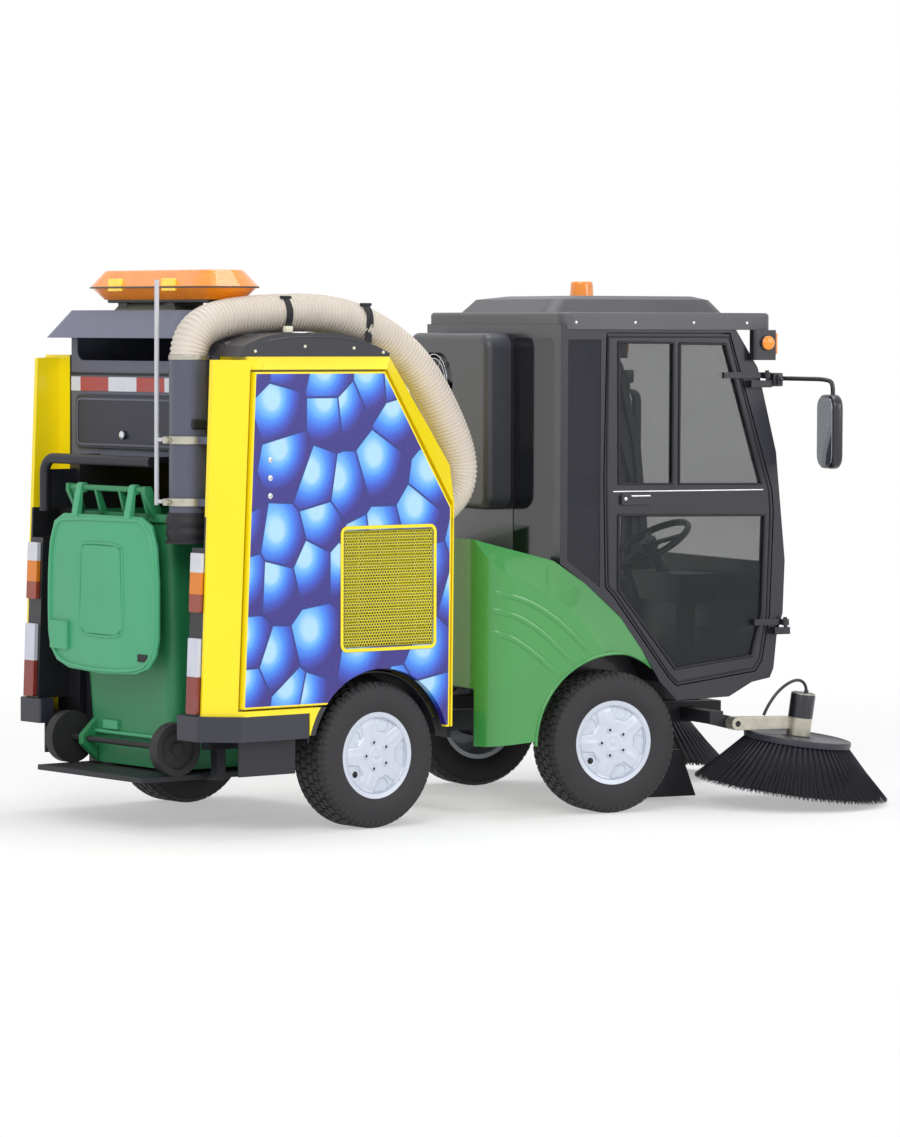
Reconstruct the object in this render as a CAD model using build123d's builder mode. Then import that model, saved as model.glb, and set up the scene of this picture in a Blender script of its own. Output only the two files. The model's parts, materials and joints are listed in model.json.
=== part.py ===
from build123d import *
import os
from math import atan, cos, degrees, hypot, radians, sin

# Compact articulated vacuum sweeper, in millimetres. It is laid out about the ground point under the rear
# axle, X forward, Y to the left, Z up. The front module is laid out straight ahead and is turned about the
# pivot when it is written, and every piece is then shifted so that the origin is the middle of the vehicle.

# Where the finished vehicle's origin lies in the layout
ORIGIN_X = 850.0
ORIGIN_Y = -327.0

# Parked steering angle and the pivot between the modules
PARKED_ANGLE = -13.2
PIVOT_X = 580.0
PIVOT_PIN_RADIUS = 30.0
RUNNING_GAP = 0.08
SEAT_GAP = 0.3

# Wheels and axles
TYRE_RADIUS = 277.0
TYRE_WIDTH = 195.0
TYRE_BORE = 153.0
RIM_BARREL = 152.8
RIM_WALL = 7.0
RIM_FLANGE = 168.0
WHEEL_Y = 592.0
WHEELBASE = 1239.0
AXLE_BEAM = 80.0
AXLE_HALF = 486.0
HUB_RADIUS = 72.0
STUB_RADIUS = 30.0
LUG_COUNT = 5

# Rear module: the body's outline
BODY_HALF = 700.0
BEVEL = 45.0
ROOF_Z = 1780.0
BODY_FRONT_X = 362.0
BODY_WALL = 12.0
SLOPE_TOP_X = 70.0
SLOPE_FOOT_Z = 1366.0
BODY_FOOT_Z = 371.0
SILL_Z = 455.0
ARCH_RADIUS = 330.0
LINER_RADIUS = 312.0
PANEL_THICK = 28.0
PANEL_GAP = 8.0
PANEL_HINGE_X = 317.0
PANEL_HINGE_Y = 690.0
PANEL_HINGE_Z = (500.0, 1150.0)
PANEL_PIN = 4.0
PANEL_LUG = 32.0
PANEL_NOTCH = 40.0
FRAME_FACE = 650.0
PILLAR_TOP_X = -700.0
PILLAR_FRONT_X = -560.0
PILLAR_INNER = 490.0
PILLAR_CORNER = 584.0
PILLAR_LEAN = 50.0
PILLAR_STEP_Z = 1075.0
PILLAR_STEP_Y = 564.0

# Rear module: bay, hopper and what stands on it
BAY_HALF = 425.0
BAY_FRONT_X = -70.0
BAY_TOP_Z = 1385.0
HOPPER_HALF = 480.0
HOPPER_REAR_X = -600.0
HOPPER_FRONT_X = -82.0
HOPPER_TOP_Z = 1846.0
HOOD_TOP_Z = 1952.0

# Chassis
RAIL_TOP_Z = 397.0
RAIL_BOTTOM_Z = TYRE_RADIUS + AXLE_BEAM / 2
REAR_RAIL_Y = 430.0
RAIL_WIDTH = 50.0
FRONT_RAIL_Y = 300.0

# Bin
BIN_FLOOR_Z = 225.0
BIN_TOP_Z = 1190.0
BIN_WHEEL_RADIUS = 100.0
BIN_WHEEL_X = -700.0
PLATFORM_TOP_Z = 214.7
LID_HINGE_X = -761.0
LID_HINGE_Z = 1280.0

# Front module: cab and wings
CAB_HALF = 600.0
CAB_REAR_X = 1040.0
CAB_TOP_Z = 1880.0
CAB_WALL = 30.0
DOOR_THICK = 30.0
TUB_HALF = 435.0
WING_HALF = 700.0
WING_ARCH = 345.0

os.makedirs("parts", exist_ok=True)


def write(label, builder, front=False):
    """Turn a front piece to the parked angle, shift any piece to the origin, and write it under its label."""
    solid = builder.part
    if front:
        solid = solid.rotate(Axis((PIVOT_X, 0, 0), (0, 0, 1)), PARKED_ANGLE)
    solid = solid.moved(Location((-ORIGIN_X, -ORIGIN_Y, 0)))
    solid.label = label
    export_step(solid, f"parts/{label}.step")


def side_plane(y):
    """A plane across the vehicle at y, whose own x is forward and own y is up."""
    return Plane(origin=(0, y, 0), x_dir=(1, 0, 0), z_dir=(0, -1, 0))


def mirrored(builder):
    """The left-hand twin of a right-hand piece."""
    with BuildPart() as twin:
        add(mirror(builder.part, about=Plane.XZ, mode=Mode.PRIVATE))
    return twin


# Wheels: one row per wheel with its name, axle place, side (+1 left) and module
WHEELS = [
    ("rear_right", 0.0, -1, False),
    ("rear_left", 0.0, 1, False),
    ("front_right", WHEELBASE, -1, True),
    ("front_left", WHEELBASE, 1, True),
]
HALF_TYRE = TYRE_WIDTH / 2
BEAD_Y = 77.5
# Outer half of the tyre's section from bead to tread: radius and distance from the middle
TYRE_SECTION = [
    (TYRE_BORE, BEAD_Y),
    (RIM_FLANGE + 1, BEAD_Y),
    (RIM_FLANGE + 4, HALF_TYRE - 8),
    (206, HALF_TYRE),
    (240, HALF_TYRE - 1.5),
    (262, HALF_TYRE - 10),
    (TYRE_RADIUS, HALF_TYRE - 25),
]
FLANGE_Y = 78.0
FLANGE_THICK = 6.0
DISC_Y = 64.0
DISC_THICK = 9.0
BOSS_Y = 20.0
BOSS_RADIUS = 58.0
STUB_END_Y = 58.0
LUG_CIRCLE = 47.0
LUG_RADIUS = 8.0
POCKET_CIRCLE = 118.0
POCKET_RADIUS = 24.0

for wheel, axle_x, side, on_front in WHEELS:
    hub = (axle_x, side * WHEEL_Y, TYRE_RADIUS)
    section = Plane(origin=hub, x_dir=(1, 0, 0), z_dir=(0, 0, side))
    spin = Axis(hub, (0, 1, 0))

    with BuildPart() as tyre:
        with BuildSketch(section):
            Polygon(*TYRE_SECTION, *[(radius, -y) for radius, y in reversed(TYRE_SECTION)], align=None)
        revolve(axis=spin)
    write(f"tyre_{wheel}", tyre, on_front)

    with BuildPart() as rim:
        with BuildSketch(section):
            with BuildLine():
                Polyline(
                    (0, DISC_Y + DISC_THICK),
                    (60, DISC_Y + DISC_THICK + 3),
                    (RIM_BARREL - RIM_WALL - 8, DISC_Y + DISC_THICK),
                    (RIM_BARREL - RIM_WALL, DISC_Y + DISC_THICK - 6),
                    (RIM_BARREL - RIM_WALL, FLANGE_Y + FLANGE_THICK - 3),
                    (RIM_FLANGE - 3, FLANGE_Y + FLANGE_THICK),
                    (RIM_FLANGE, FLANGE_Y + FLANGE_THICK - 3),
                    (RIM_FLANGE, FLANGE_Y),
                    (RIM_BARREL, FLANGE_Y),
                    (RIM_BARREL, -FLANGE_Y),
                    (RIM_FLANGE, -FLANGE_Y),
                    (RIM_FLANGE, -FLANGE_Y - FLANGE_THICK),
                    (RIM_BARREL - RIM_WALL, -FLANGE_Y - FLANGE_THICK),
                    (RIM_BARREL - RIM_WALL, DISC_Y - 16),
                    (110, DISC_Y),
                    (BOSS_RADIUS, DISC_Y),
                    (BOSS_RADIUS, BOSS_Y),
                    (STUB_RADIUS + RUNNING_GAP, BOSS_Y),
                    (STUB_RADIUS + RUNNING_GAP, DISC_Y - 2),
                    (0, DISC_Y - 2),
                    close=True,
                )
            make_face()
        revolve(axis=spin)
        face_plane = Plane(
            origin=(axle_x, side * (WHEEL_Y + DISC_Y + DISC_THICK), TYRE_RADIUS),
            x_dir=(-side, 0, 0),
            z_dir=(0, side, 0),
        )
        with BuildSketch(face_plane.offset(-3)):
            with PolarLocations(POCKET_CIRCLE, LUG_COUNT):
                Circle(POCKET_RADIUS)
        extrude(amount=20, mode=Mode.SUBTRACT)
        with BuildSketch(face_plane):
            with PolarLocations(LUG_CIRCLE, LUG_COUNT, start_angle=36):
                Circle(LUG_RADIUS)
        extrude(amount=7)
    write(f"rim_{wheel}", rim, on_front)

# Axle beams with a hub motor at each end, and the stub that the wheel turns on
HUB_END_Y = WHEEL_Y + BOSS_Y - 8
for axle, axle_x, on_front in (("rear_axle", 0.0, False), ("front_axle", WHEELBASE, True)):
    with BuildPart() as axle_beam:
        with BuildSketch(Plane.XZ.offset(-AXLE_HALF)):
            with Locations((axle_x, TYRE_RADIUS)):
                Rectangle(AXLE_BEAM, AXLE_BEAM)
        extrude(amount=2 * AXLE_HALF)
        for side in (-1, 1):
            end = Plane(origin=(axle_x, side * AXLE_HALF, TYRE_RADIUS), x_dir=(1, 0, 0), z_dir=(0, side, 0))
            with BuildSketch(end):
                Circle(HUB_RADIUS)
            extrude(amount=HUB_END_Y - AXLE_HALF)
            with BuildSketch(end.offset(HUB_END_Y - AXLE_HALF)):
                Circle(STUB_RADIUS)
            extrude(amount=WHEEL_Y + STUB_END_Y - HUB_END_Y)
    write(axle, axle_beam, on_front)

# Rear chassis: rails outside the bay, cross members, tongue to the pivot, arch liners and lift guides
TONGUE_HALF = 55.0
TONGUE_LOW_Z = 325.0
TONGUE_HIGH_Z = 425.0
GUIDE_X = -540.0
SLIDE_BAR = 40.0
SLIDE_Y = 400.0
GUIDE_DEEP = 50.0
GUIDE_TOP_Z = 760.0
LINER_WALL = 6.0
OUTRIGGER_INNER = REAR_RAIL_Y + RAIL_WIDTH
BUMPER_INNER = 640.0

with BuildPart() as rear_frame:
    with BuildSketch(Plane.XY.offset(RAIL_BOTTOM_Z)):
        for side in (-1, 1):
            with Locations(((BODY_FRONT_X - 640) / 2, side * (REAR_RAIL_Y + RAIL_WIDTH / 2))):
                Rectangle(BODY_FRONT_X + 640, RAIL_WIDTH)
        for cross_x in (BAY_FRONT_X + 45, BODY_FRONT_X - 30):
            with Locations((cross_x, 0)):
                Rectangle(60, 2 * REAR_RAIL_Y)
    extrude(amount=RAIL_TOP_Z - RAIL_BOTTOM_Z)
    with BuildSketch(Plane.XY.offset(TONGUE_LOW_Z)):
        with Locations(((BODY_FRONT_X - 60 + PIVOT_X) / 2, 0)):
            Rectangle(PIVOT_X - BODY_FRONT_X + 60, 2 * TONGUE_HALF)
        with Locations((PIVOT_X, 0)):
            Circle(TONGUE_HALF)
    extrude(amount=TONGUE_HIGH_Z - TONGUE_LOW_Z)
    with BuildSketch(Plane.XY.offset(TONGUE_LOW_Z - 1)):
        with Locations((PIVOT_X, 0)):
            Circle(PIVOT_PIN_RADIUS + RUNNING_GAP)
    extrude(amount=TONGUE_HIGH_Z - TONGUE_LOW_Z + 2, mode=Mode.SUBTRACT)
    for side in (-1, 1):
        with BuildSketch(side_plane(side * OUTRIGGER_INNER)):
            with Locations((0, TYRE_RADIUS)):
                Circle(LINER_RADIUS + LINER_WALL)
                Circle(LINER_RADIUS, mode=Mode.SUBTRACT)
            with Locations((0, TYRE_RADIUS - 400 + 60)):
                Rectangle(800, 800, mode=Mode.SUBTRACT)
        extrude(amount=-side * (FRAME_FACE - OUTRIGGER_INNER))
        with BuildSketch(Plane.XY.offset(BODY_FOOT_Z)):
            with Locations((-600, side * (OUTRIGGER_INNER + BUMPER_INNER) / 2)):
                Rectangle(60, BUMPER_INNER - OUTRIGGER_INNER)
            with Locations((-380, side * (OUTRIGGER_INNER + BUMPER_INNER) / 2)):
                Rectangle(50, BUMPER_INNER - OUTRIGGER_INNER)
        extrude(amount=RAIL_TOP_Z - BODY_FOOT_Z)
        with BuildSketch(Plane.XY.offset(227)):
            with Locations((-490, side * (BUMPER_INNER - 4))):
                Rectangle(260, 8)
        extrude(amount=RAIL_TOP_Z - 227)
        with BuildSketch(Plane.XY.offset(RAIL_BOTTOM_Z)):
            with Locations((GUIDE_X, side * (BAY_HALF - SEAT_GAP - GUIDE_DEEP / 2))):
                Rectangle(SLIDE_BAR + 2 * SEAT_GAP + 20, GUIDE_DEEP)
            with Locations((GUIDE_X, side * (SLIDE_Y + SEAT_GAP - 10))):
                Rectangle(SLIDE_BAR + 2 * SEAT_GAP, SLIDE_BAR + 20, mode=Mode.SUBTRACT)
        extrude(amount=GUIDE_TOP_Z - RAIL_BOTTOM_Z)
        with BuildSketch(Plane.XY.offset(RAIL_BOTTOM_Z)):
            with Locations((GUIDE_X, side * (BAY_HALF + REAR_RAIL_Y) / 2)):
                Rectangle(SLIDE_BAR + 20, REAR_RAIL_Y - BAY_HALF + 4)
        extrude(amount=RAIL_TOP_Z - RAIL_BOTTOM_Z)
write("rear_frame", rear_frame)

# Bumper ends: flat rear face, cut corner and a sill along the side
with BuildPart() as bumper_right:
    with BuildSketch(Plane.XY.offset(361)):
        Polygon(
            (-769, -449),
            (-769, -585),
            (-653, -BODY_HALF),
            (-ARCH_RADIUS - 12, -BODY_HALF),
            (-ARCH_RADIUS - 12, -BUMPER_INNER),
            (-630, -BUMPER_INNER),
            (-705, -565),
            (-705, -449),
            align=None,
        )
    extrude(amount=SILL_Z - 361)
    fillet(bumper_right.edges().filter_by(Axis.Z).group_by(Axis.X)[0], 8)
with BuildPart() as rear_bumper:
    add(bumper_right.part)
    mirror(about=Plane.XZ)
write("rear_bumper", rear_bumper)

# Yellow body: side profile, bevelled towards the flanks, hollowed into bay, engine room and lockers
POCKET_OUTLINE = [(-594, 1724), (24, 1724), (338, 1222), (330, 371), (200, 371), (-200, 483), (-645, 483)]
PANEL_OUTLINE = [(-594, 1724), (15, 1724), (338, 1207), (330, 371), (200, 371), (-200, 483), (-645, 483)]
MIDDLE_PROFILE = [
    (-600, ROOF_Z),
    (SLOPE_TOP_X, ROOF_Z),
    (BODY_FRONT_X + 3, SLOPE_FOOT_Z),
    (BODY_FRONT_X, BODY_FOOT_Z),
    (-600, BODY_FOOT_Z),
]
FLANK_PROFILE = [(-600, 1730), (24, 1730), (351, 1224), (345, BODY_FOOT_Z), (-600, BODY_FOOT_Z)]
MIDDLE_HALF = BODY_HALF - BEVEL
WINDOW_PROFILE = [(-540, 1640), (20, 1640), (250, 1250), (250, 640), (-540, 640)]
ENGINE_ROOM_X = -58.0

with BuildPart() as body_shell:
    with BuildSketch(side_plane(-MIDDLE_HALF)):
        Polygon(*MIDDLE_PROFILE, align=None)
    extrude(amount=-2 * MIDDLE_HALF)
    for side in (-1, 1):
        with BuildSketch(side_plane(side * MIDDLE_HALF)):
            Polygon(*MIDDLE_PROFILE, align=None)
        with BuildSketch(side_plane(side * BODY_HALF)):
            Polygon(*FLANK_PROFILE, align=None)
        loft()
    # Leaning rear pillars with a cut corner
    for side in (-1, 1):
        for z, lean in ((SILL_Z, PILLAR_LEAN), (ROOF_Z - 12, 0)):
            rear_x = PILLAR_TOP_X - lean
            with BuildSketch(Plane.XY.offset(z)):
                Polygon(
                    (rear_x, side * PILLAR_INNER),
                    (rear_x, side * PILLAR_CORNER),
                    (rear_x + BODY_HALF - PILLAR_CORNER, side * BODY_HALF),
                    (PILLAR_FRONT_X, side * BODY_HALF),
                    (PILLAR_FRONT_X, side * PILLAR_INNER),
                    align=None,
                )
        loft()
        # Above its step the pillar keeps clear of the suction duct
        with BuildSketch(Plane.XY.offset(PILLAR_STEP_Z)):
            with Locations((HOPPER_REAR_X - 100, side * (PILLAR_INNER + PILLAR_STEP_Y) / 2)):
                Rectangle(200, PILLAR_STEP_Y - PILLAR_INNER)
        extrude(amount=ROOF_Z - PILLAR_STEP_Z + 1, mode=Mode.SUBTRACT)
    # Engine room
    with BuildSketch(side_plane(-MIDDLE_HALF + 10)):
        Polygon(
            (ENGINE_ROOM_X, ROOF_Z - BODY_WALL),
            (SLOPE_TOP_X - 6, ROOF_Z - BODY_WALL),
            (BODY_FRONT_X - BODY_WALL, SLOPE_FOOT_Z - 4),
            (BODY_FRONT_X - BODY_WALL, RAIL_TOP_Z),
            (ENGINE_ROOM_X, RAIL_TOP_Z),
            align=None,
        )
    extrude(amount=-2 * (MIDDLE_HALF - 10), mode=Mode.SUBTRACT)
    # Room under the floor, so that the body stands on the rails
    with BuildSketch(side_plane(-MIDDLE_HALF)):
        with Locations((-100, BODY_FOOT_Z + (RAIL_TOP_Z - BODY_FOOT_Z) / 2)):
            Rectangle(1100, RAIL_TOP_Z - BODY_FOOT_Z)
    extrude(amount=-2 * MIDDLE_HALF, mode=Mode.SUBTRACT)
    with BuildSketch(Plane.YZ.offset(BODY_FRONT_X - 100)):
        with Locations((0, TONGUE_HIGH_Z - 95)):
            Rectangle(2 * TONGUE_HALF + 10, 200)
    extrude(amount=110, mode=Mode.SUBTRACT)
    for side in (-1, 1):
        with BuildSketch(Plane.XY.offset(BODY_FOOT_Z - 10)):
            with Locations((-ARCH_RADIUS - 157, side * (BODY_HALF + BUMPER_INNER - 5) / 2)):
                Rectangle(300, BODY_HALF - BUMPER_INNER + 5)
        extrude(amount=SILL_Z - BODY_FOOT_Z + 10, mode=Mode.SUBTRACT)
    # Bin bay, hopper space and side lockers
    with BuildSketch(side_plane(-BAY_HALF)):
        with Locations(((BAY_FRONT_X - 900) / 2, 700)):
            Rectangle(900 + BAY_FRONT_X, 2 * (BAY_TOP_Z - 700))
    extrude(amount=-2 * BAY_HALF, mode=Mode.SUBTRACT)
    with BuildSketch(side_plane(-HOPPER_HALF - 5)):
        with Locations(((BAY_FRONT_X - 900) / 2, (BAY_TOP_Z + 2000) / 2)):
            Rectangle(900 + BAY_FRONT_X, 2000 - BAY_TOP_Z)
    extrude(amount=-2 * (HOPPER_HALF + 5), mode=Mode.SUBTRACT)
    for side in (-1, 1):
        with BuildSketch(side_plane(side * (BAY_HALF + BODY_WALL))):
            with Locations(((PILLAR_FRONT_X + BAY_FRONT_X) / 2, (RAIL_TOP_Z + BAY_TOP_Z - BODY_WALL) / 2)):
                Rectangle(BAY_FRONT_X - PILLAR_FRONT_X, BAY_TOP_Z - BODY_WALL - RAIL_TOP_Z)
        extrude(amount=-side * (MIDDLE_HALF - 10 - BAY_HALF - BODY_WALL), mode=Mode.SUBTRACT)
        with BuildSketch(side_plane(side * BODY_HALF)):
            Polygon(*POCKET_OUTLINE, align=None)
            offset(amount=PANEL_GAP, kind=Kind.INTERSECTION)
        extrude(amount=side * (BODY_HALF - FRAME_FACE), mode=Mode.SUBTRACT)
        with BuildSketch(side_plane(side * BODY_HALF)):
            Polygon(*WINDOW_PROFILE, align=None)
        extrude(amount=side * (BODY_HALF - MIDDLE_HALF + 11), mode=Mode.SUBTRACT)
        with BuildSketch(side_plane(side * (BODY_HALF + 1))):
            with Locations((0, TYRE_RADIUS)):
                Circle(LINER_RADIUS + LINER_WALL + 8)
        extrude(amount=side * (BODY_HALF + 1 - OUTRIGGER_INNER), mode=Mode.SUBTRACT)
        # Hinge lugs of the side panels, each with its pin
        for hinge_z in PANEL_HINGE_Z:
            with BuildSketch(Plane.XY.offset(hinge_z - PANEL_LUG / 2)):
                with Locations((PANEL_HINGE_X, side * (FRAME_FACE - 1 + PANEL_HINGE_Y) / 2)):
                    Rectangle(10, PANEL_HINGE_Y - FRAME_FACE + 1)
                with Locations((PANEL_HINGE_X, side * PANEL_HINGE_Y)):
                    Circle(PANEL_PIN + 2)
            extrude(amount=PANEL_LUG)
            with BuildSketch(Plane.XY.offset(hinge_z - PANEL_LUG)):
                with Locations((PANEL_HINGE_X, side * PANEL_HINGE_Y)):
                    Circle(PANEL_PIN)
            extrude(amount=2 * PANEL_LUG)
write("body_shell", body_shell)

# Side panel: a door hung at its front edge, with a grille of slots and three locks
GRILLE_X = (-190, 257)
GRILLE_Z = (680, 1141)
GRILLE_COLUMNS = 5
GRILLE_ROWS = 16
GRILLE_SKIN = 8.0

with BuildPart() as side_panel_right:
    with BuildSketch(side_plane(-BODY_HALF)):
        Polygon(*PANEL_OUTLINE, align=None)
        with Locations((0, TYRE_RADIUS)):
            Circle(ARCH_RADIUS, mode=Mode.SUBTRACT)
    extrude(amount=-PANEL_THICK)
    grille_middle = (sum(GRILLE_X) / 2, sum(GRILLE_Z) / 2)
    grille_size = (GRILLE_X[1] - GRILLE_X[0], GRILLE_Z[1] - GRILLE_Z[0])
    with BuildSketch(side_plane(-BODY_HALF + GRILLE_SKIN)):
        with Locations(grille_middle):
            RectangleRounded(grille_size[0] - 10, grille_size[1] - 10, 25)
    extrude(amount=-PANEL_THICK, mode=Mode.SUBTRACT)
    with BuildSketch(side_plane(-BODY_HALF)):
        with Locations(grille_middle):
            with GridLocations(grille_size[0] / (GRILLE_COLUMNS + 0.3), grille_size[1] / (GRILLE_ROWS + 0.6),
                               GRILLE_COLUMNS, GRILLE_ROWS):
                Rectangle(grille_size[0] / (GRILLE_COLUMNS + 0.3) - 12, grille_size[1] / (GRILLE_ROWS + 0.6) - 14)
    extrude(amount=-GRILLE_SKIN, mode=Mode.SUBTRACT)
    for hinge_z in PANEL_HINGE_Z:
        with BuildSketch(Plane.XY.offset(hinge_z - PANEL_NOTCH / 2)):
            with Locations((PANEL_HINGE_X + 19, -PANEL_HINGE_Y + 7)):
                Rectangle(60, 28)
        extrude(amount=PANEL_NOTCH, mode=Mode.SUBTRACT)
        with BuildSketch(Plane.XY.offset(hinge_z - PANEL_LUG - 2)):
            with Locations((PANEL_HINGE_X, -PANEL_HINGE_Y)):
                Circle(PANEL_PIN + RUNNING_GAP)
        extrude(amount=2 * PANEL_LUG + 4, mode=Mode.SUBTRACT)
write("side_panel_right", side_panel_right)
side_panel_left = mirrored(side_panel_right)
write("side_panel_left", side_panel_left)

# Hopper over the bin: open below and, under its hood, at the top of its rear wall
HOPPER_WALL = 6.0
HOPPER_EDGE_Y = -318.0
SHOULDER_Z = 1756.0
HATCH_Y = (-224, 434)
HATCH_Z = (1421, 1628)
HATCH_THICK = 14.0
MOUTH_SILL_Z = 1760.0

with BuildPart() as hopper:
    hopper_middle = (HOPPER_REAR_X + HOPPER_FRONT_X) / 2
    hopper_long = HOPPER_FRONT_X - HOPPER_REAR_X
    with BuildSketch(Plane.YZ.offset(HOPPER_REAR_X)):
        Polygon((-HOPPER_HALF, BAY_TOP_Z), (HOPPER_HALF, BAY_TOP_Z), (HOPPER_HALF, HOPPER_TOP_Z),
                (HOPPER_EDGE_Y, HOPPER_TOP_Z), (-HOPPER_HALF, SHOULDER_Z), align=None)
    extrude(amount=hopper_long)
    with BuildSketch(Plane.YZ.offset(HOPPER_REAR_X + HOPPER_WALL)):
        Polygon((HOPPER_WALL - HOPPER_HALF, BAY_TOP_Z + HOPPER_WALL), (HOPPER_HALF - HOPPER_WALL, BAY_TOP_Z + HOPPER_WALL),
                (HOPPER_HALF - HOPPER_WALL, HOPPER_TOP_Z + 1), (HOPPER_EDGE_Y + 12, HOPPER_TOP_Z + 1),
                (HOPPER_EDGE_Y + 12, HOPPER_TOP_Z - 2), (HOPPER_WALL - HOPPER_HALF, SHOULDER_Z - 4), align=None)
    extrude(amount=hopper_long - 2 * HOPPER_WALL, mode=Mode.SUBTRACT)
    with BuildSketch(Plane.XY.offset(BAY_TOP_Z - 1)):
        with Locations((hopper_middle, 0)):
            Rectangle(hopper_long - 2 * HOPPER_WALL, 2 * (BAY_HALF - 5))
    extrude(amount=20, mode=Mode.SUBTRACT)
    with BuildSketch(Plane.YZ.offset(HOPPER_REAR_X - 1)):
        with Locations(((HOPPER_EDGE_Y + HOPPER_HALF - 20) / 2, (MOUTH_SILL_Z + HOPPER_TOP_Z) / 2 + 20)):
            RectangleRounded(HOPPER_HALF - HOPPER_EDGE_Y - 60, HOPPER_TOP_Z - MOUTH_SILL_Z + 40, 39)
        with Locations((sum(HATCH_Y) / 2, sum(HATCH_Z) / 2)):
            RectangleRounded(HATCH_Y[1] - HATCH_Y[0] - 50, HATCH_Z[1] - HATCH_Z[0] - 50, 10)
    extrude(amount=HOPPER_WALL + 2, mode=Mode.SUBTRACT)
write("hopper", hopper)

with BuildPart() as hopper_hatch:
    with BuildSketch(Plane.YZ.offset(HOPPER_REAR_X - HATCH_THICK)):
        with Locations((sum(HATCH_Y) / 2, sum(HATCH_Z) / 2)):
            RectangleRounded(HATCH_Y[1] - HATCH_Y[0], HATCH_Z[1] - HATCH_Z[0], 28)
    extrude(amount=HATCH_THICK)
    fillet(hopper_hatch.faces().sort_by(Axis.X)[0].edges(), 5)
    with BuildSketch(Plane.YZ.offset(HOPPER_REAR_X - HATCH_THICK - 8)):
        with Locations((sum(HATCH_Y) / 2, 1477)):
            Circle(16)
    extrude(amount=8)
write("hopper_hatch", hopper_hatch)

# Hood over the hopper: a thin cover with sloping sides
HOOD_BOTTOM = (-692, -90, -322, 556)
HOOD_TOP = (-600, -130, -290, 520)
HOOD_WALL = 5.0

with BuildPart() as hopper_hood:
    for inset, mode in ((0, Mode.ADD), (HOOD_WALL, Mode.SUBTRACT)):
        for z, (low_x, high_x, low_y, high_y) in ((HOPPER_TOP_Z, HOOD_BOTTOM), (HOOD_TOP_Z - inset, HOOD_TOP)):
            with BuildSketch(Plane.XY.offset(z)):
                with Locations(((low_x + high_x) / 2, (low_y + high_y) / 2)):
                    RectangleRounded(high_x - low_x - 2 * inset, high_y - low_y - 2 * inset, 60 - inset)
        loft(mode=mode)
    with BuildSketch(Plane.XY.offset(HOPPER_TOP_Z)):
        with Locations((hopper_middle, (HOPPER_EDGE_Y + HOPPER_HALF) / 2)):
            Rectangle(hopper_long - 40, HOPPER_HALF - HOPPER_EDGE_Y - 10)
            Rectangle(hopper_long - 90, HOPPER_HALF - HOPPER_EDGE_Y - 60, mode=Mode.SUBTRACT)
    extrude(amount=4)
write("hopper_hood", hopper_hood)

# Engine on the floor of its room: one plain block
with BuildPart() as engine_block:
    with BuildSketch(Plane.XY.offset(RAIL_TOP_Z)):
        with Locations((130, 0)):
            Rectangle(330, 760)
    extrude(amount=560)
write("engine_block", engine_block)

# Suction duct behind the right pillar: pipe, boot at its foot and two band clamps
DUCT_X = -680.0
DUCT_Y = -406.0
DUCT_RADIUS = 74.0
DUCT_TOP_Z = 1776.0
DUCT_FOOT_Z = 1190.0
BOOT_RADIUS = 80.0
BAND_RADIUS = 79.0
BAND_Z = (1240, 1470)

with BuildPart() as suction_duct:
    with BuildSketch(Plane.XY.offset(DUCT_FOOT_Z)):
        with Locations((DUCT_X, DUCT_Y)):
            Circle(DUCT_RADIUS)
    extrude(amount=DUCT_TOP_Z - DUCT_FOOT_Z)
    with BuildSketch(Plane.XY.offset(DUCT_FOOT_Z - 100)):
        with Locations((DUCT_X, DUCT_Y)):
            Circle(BOOT_RADIUS)
    extrude(amount=100)
    for band_z in BAND_Z:
        with BuildSketch(Plane.XY.offset(band_z - 14)):
            with Locations((DUCT_X, DUCT_Y)):
                Circle(BAND_RADIUS)
            with Locations((DUCT_X + 10, (DUCT_Y - BAND_RADIUS + 10 - PILLAR_STEP_Y) / 2)):
                Rectangle(50, PILLAR_STEP_Y + DUCT_Y - BAND_RADIUS + 10)
        extrude(amount=28)
write("suction_duct", suction_duct)

# Suction hose: up out of the duct, over the right shoulder of the body and back into its front wall
HOSE_RADIUS = 72.0
HOSE_SKEW = 0.106
HOSE_ROUTE = [(0, DUCT_TOP_Z), (0, 1920), (775, 1949), (1012, 1745), (1195, 1440), (1195, 1240), (1030, 1170)]
HOSE_BENDS = [132, 480, 580, 480, 138]
hose_plane = Plane(origin=(DUCT_X, DUCT_Y, 0), x_dir=(1, -HOSE_SKEW, 0), z_dir=(-HOSE_SKEW, -1, 0))

with BuildPart() as suction_hose:
    with BuildLine(hose_plane) as hose_path:
        FilletPolyline(*HOSE_ROUTE, radius=HOSE_BENDS)
    with BuildSketch(Plane.XY.offset(DUCT_TOP_Z)):
        with Locations((DUCT_X, DUCT_Y)):
            Circle(HOSE_RADIUS)
    sweep()
    # Its foot stops at the body's front wall
    with BuildSketch(side_plane(-MIDDLE_HALF)):
        with Locations((BODY_FRONT_X + 3 + SEAT_GAP - 100, 1180)):
            Rectangle(200, 360)
    extrude(amount=-400, mode=Mode.SUBTRACT)
write("suction_hose", suction_hose)

# Black cover on the right of the roof, domed, with a filler cap and the two straps that hold the hose
COVER_X = (-640, 120)
COVER_Y = (-655, -495)
COVER_TOP_Z = 1862.0

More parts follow.
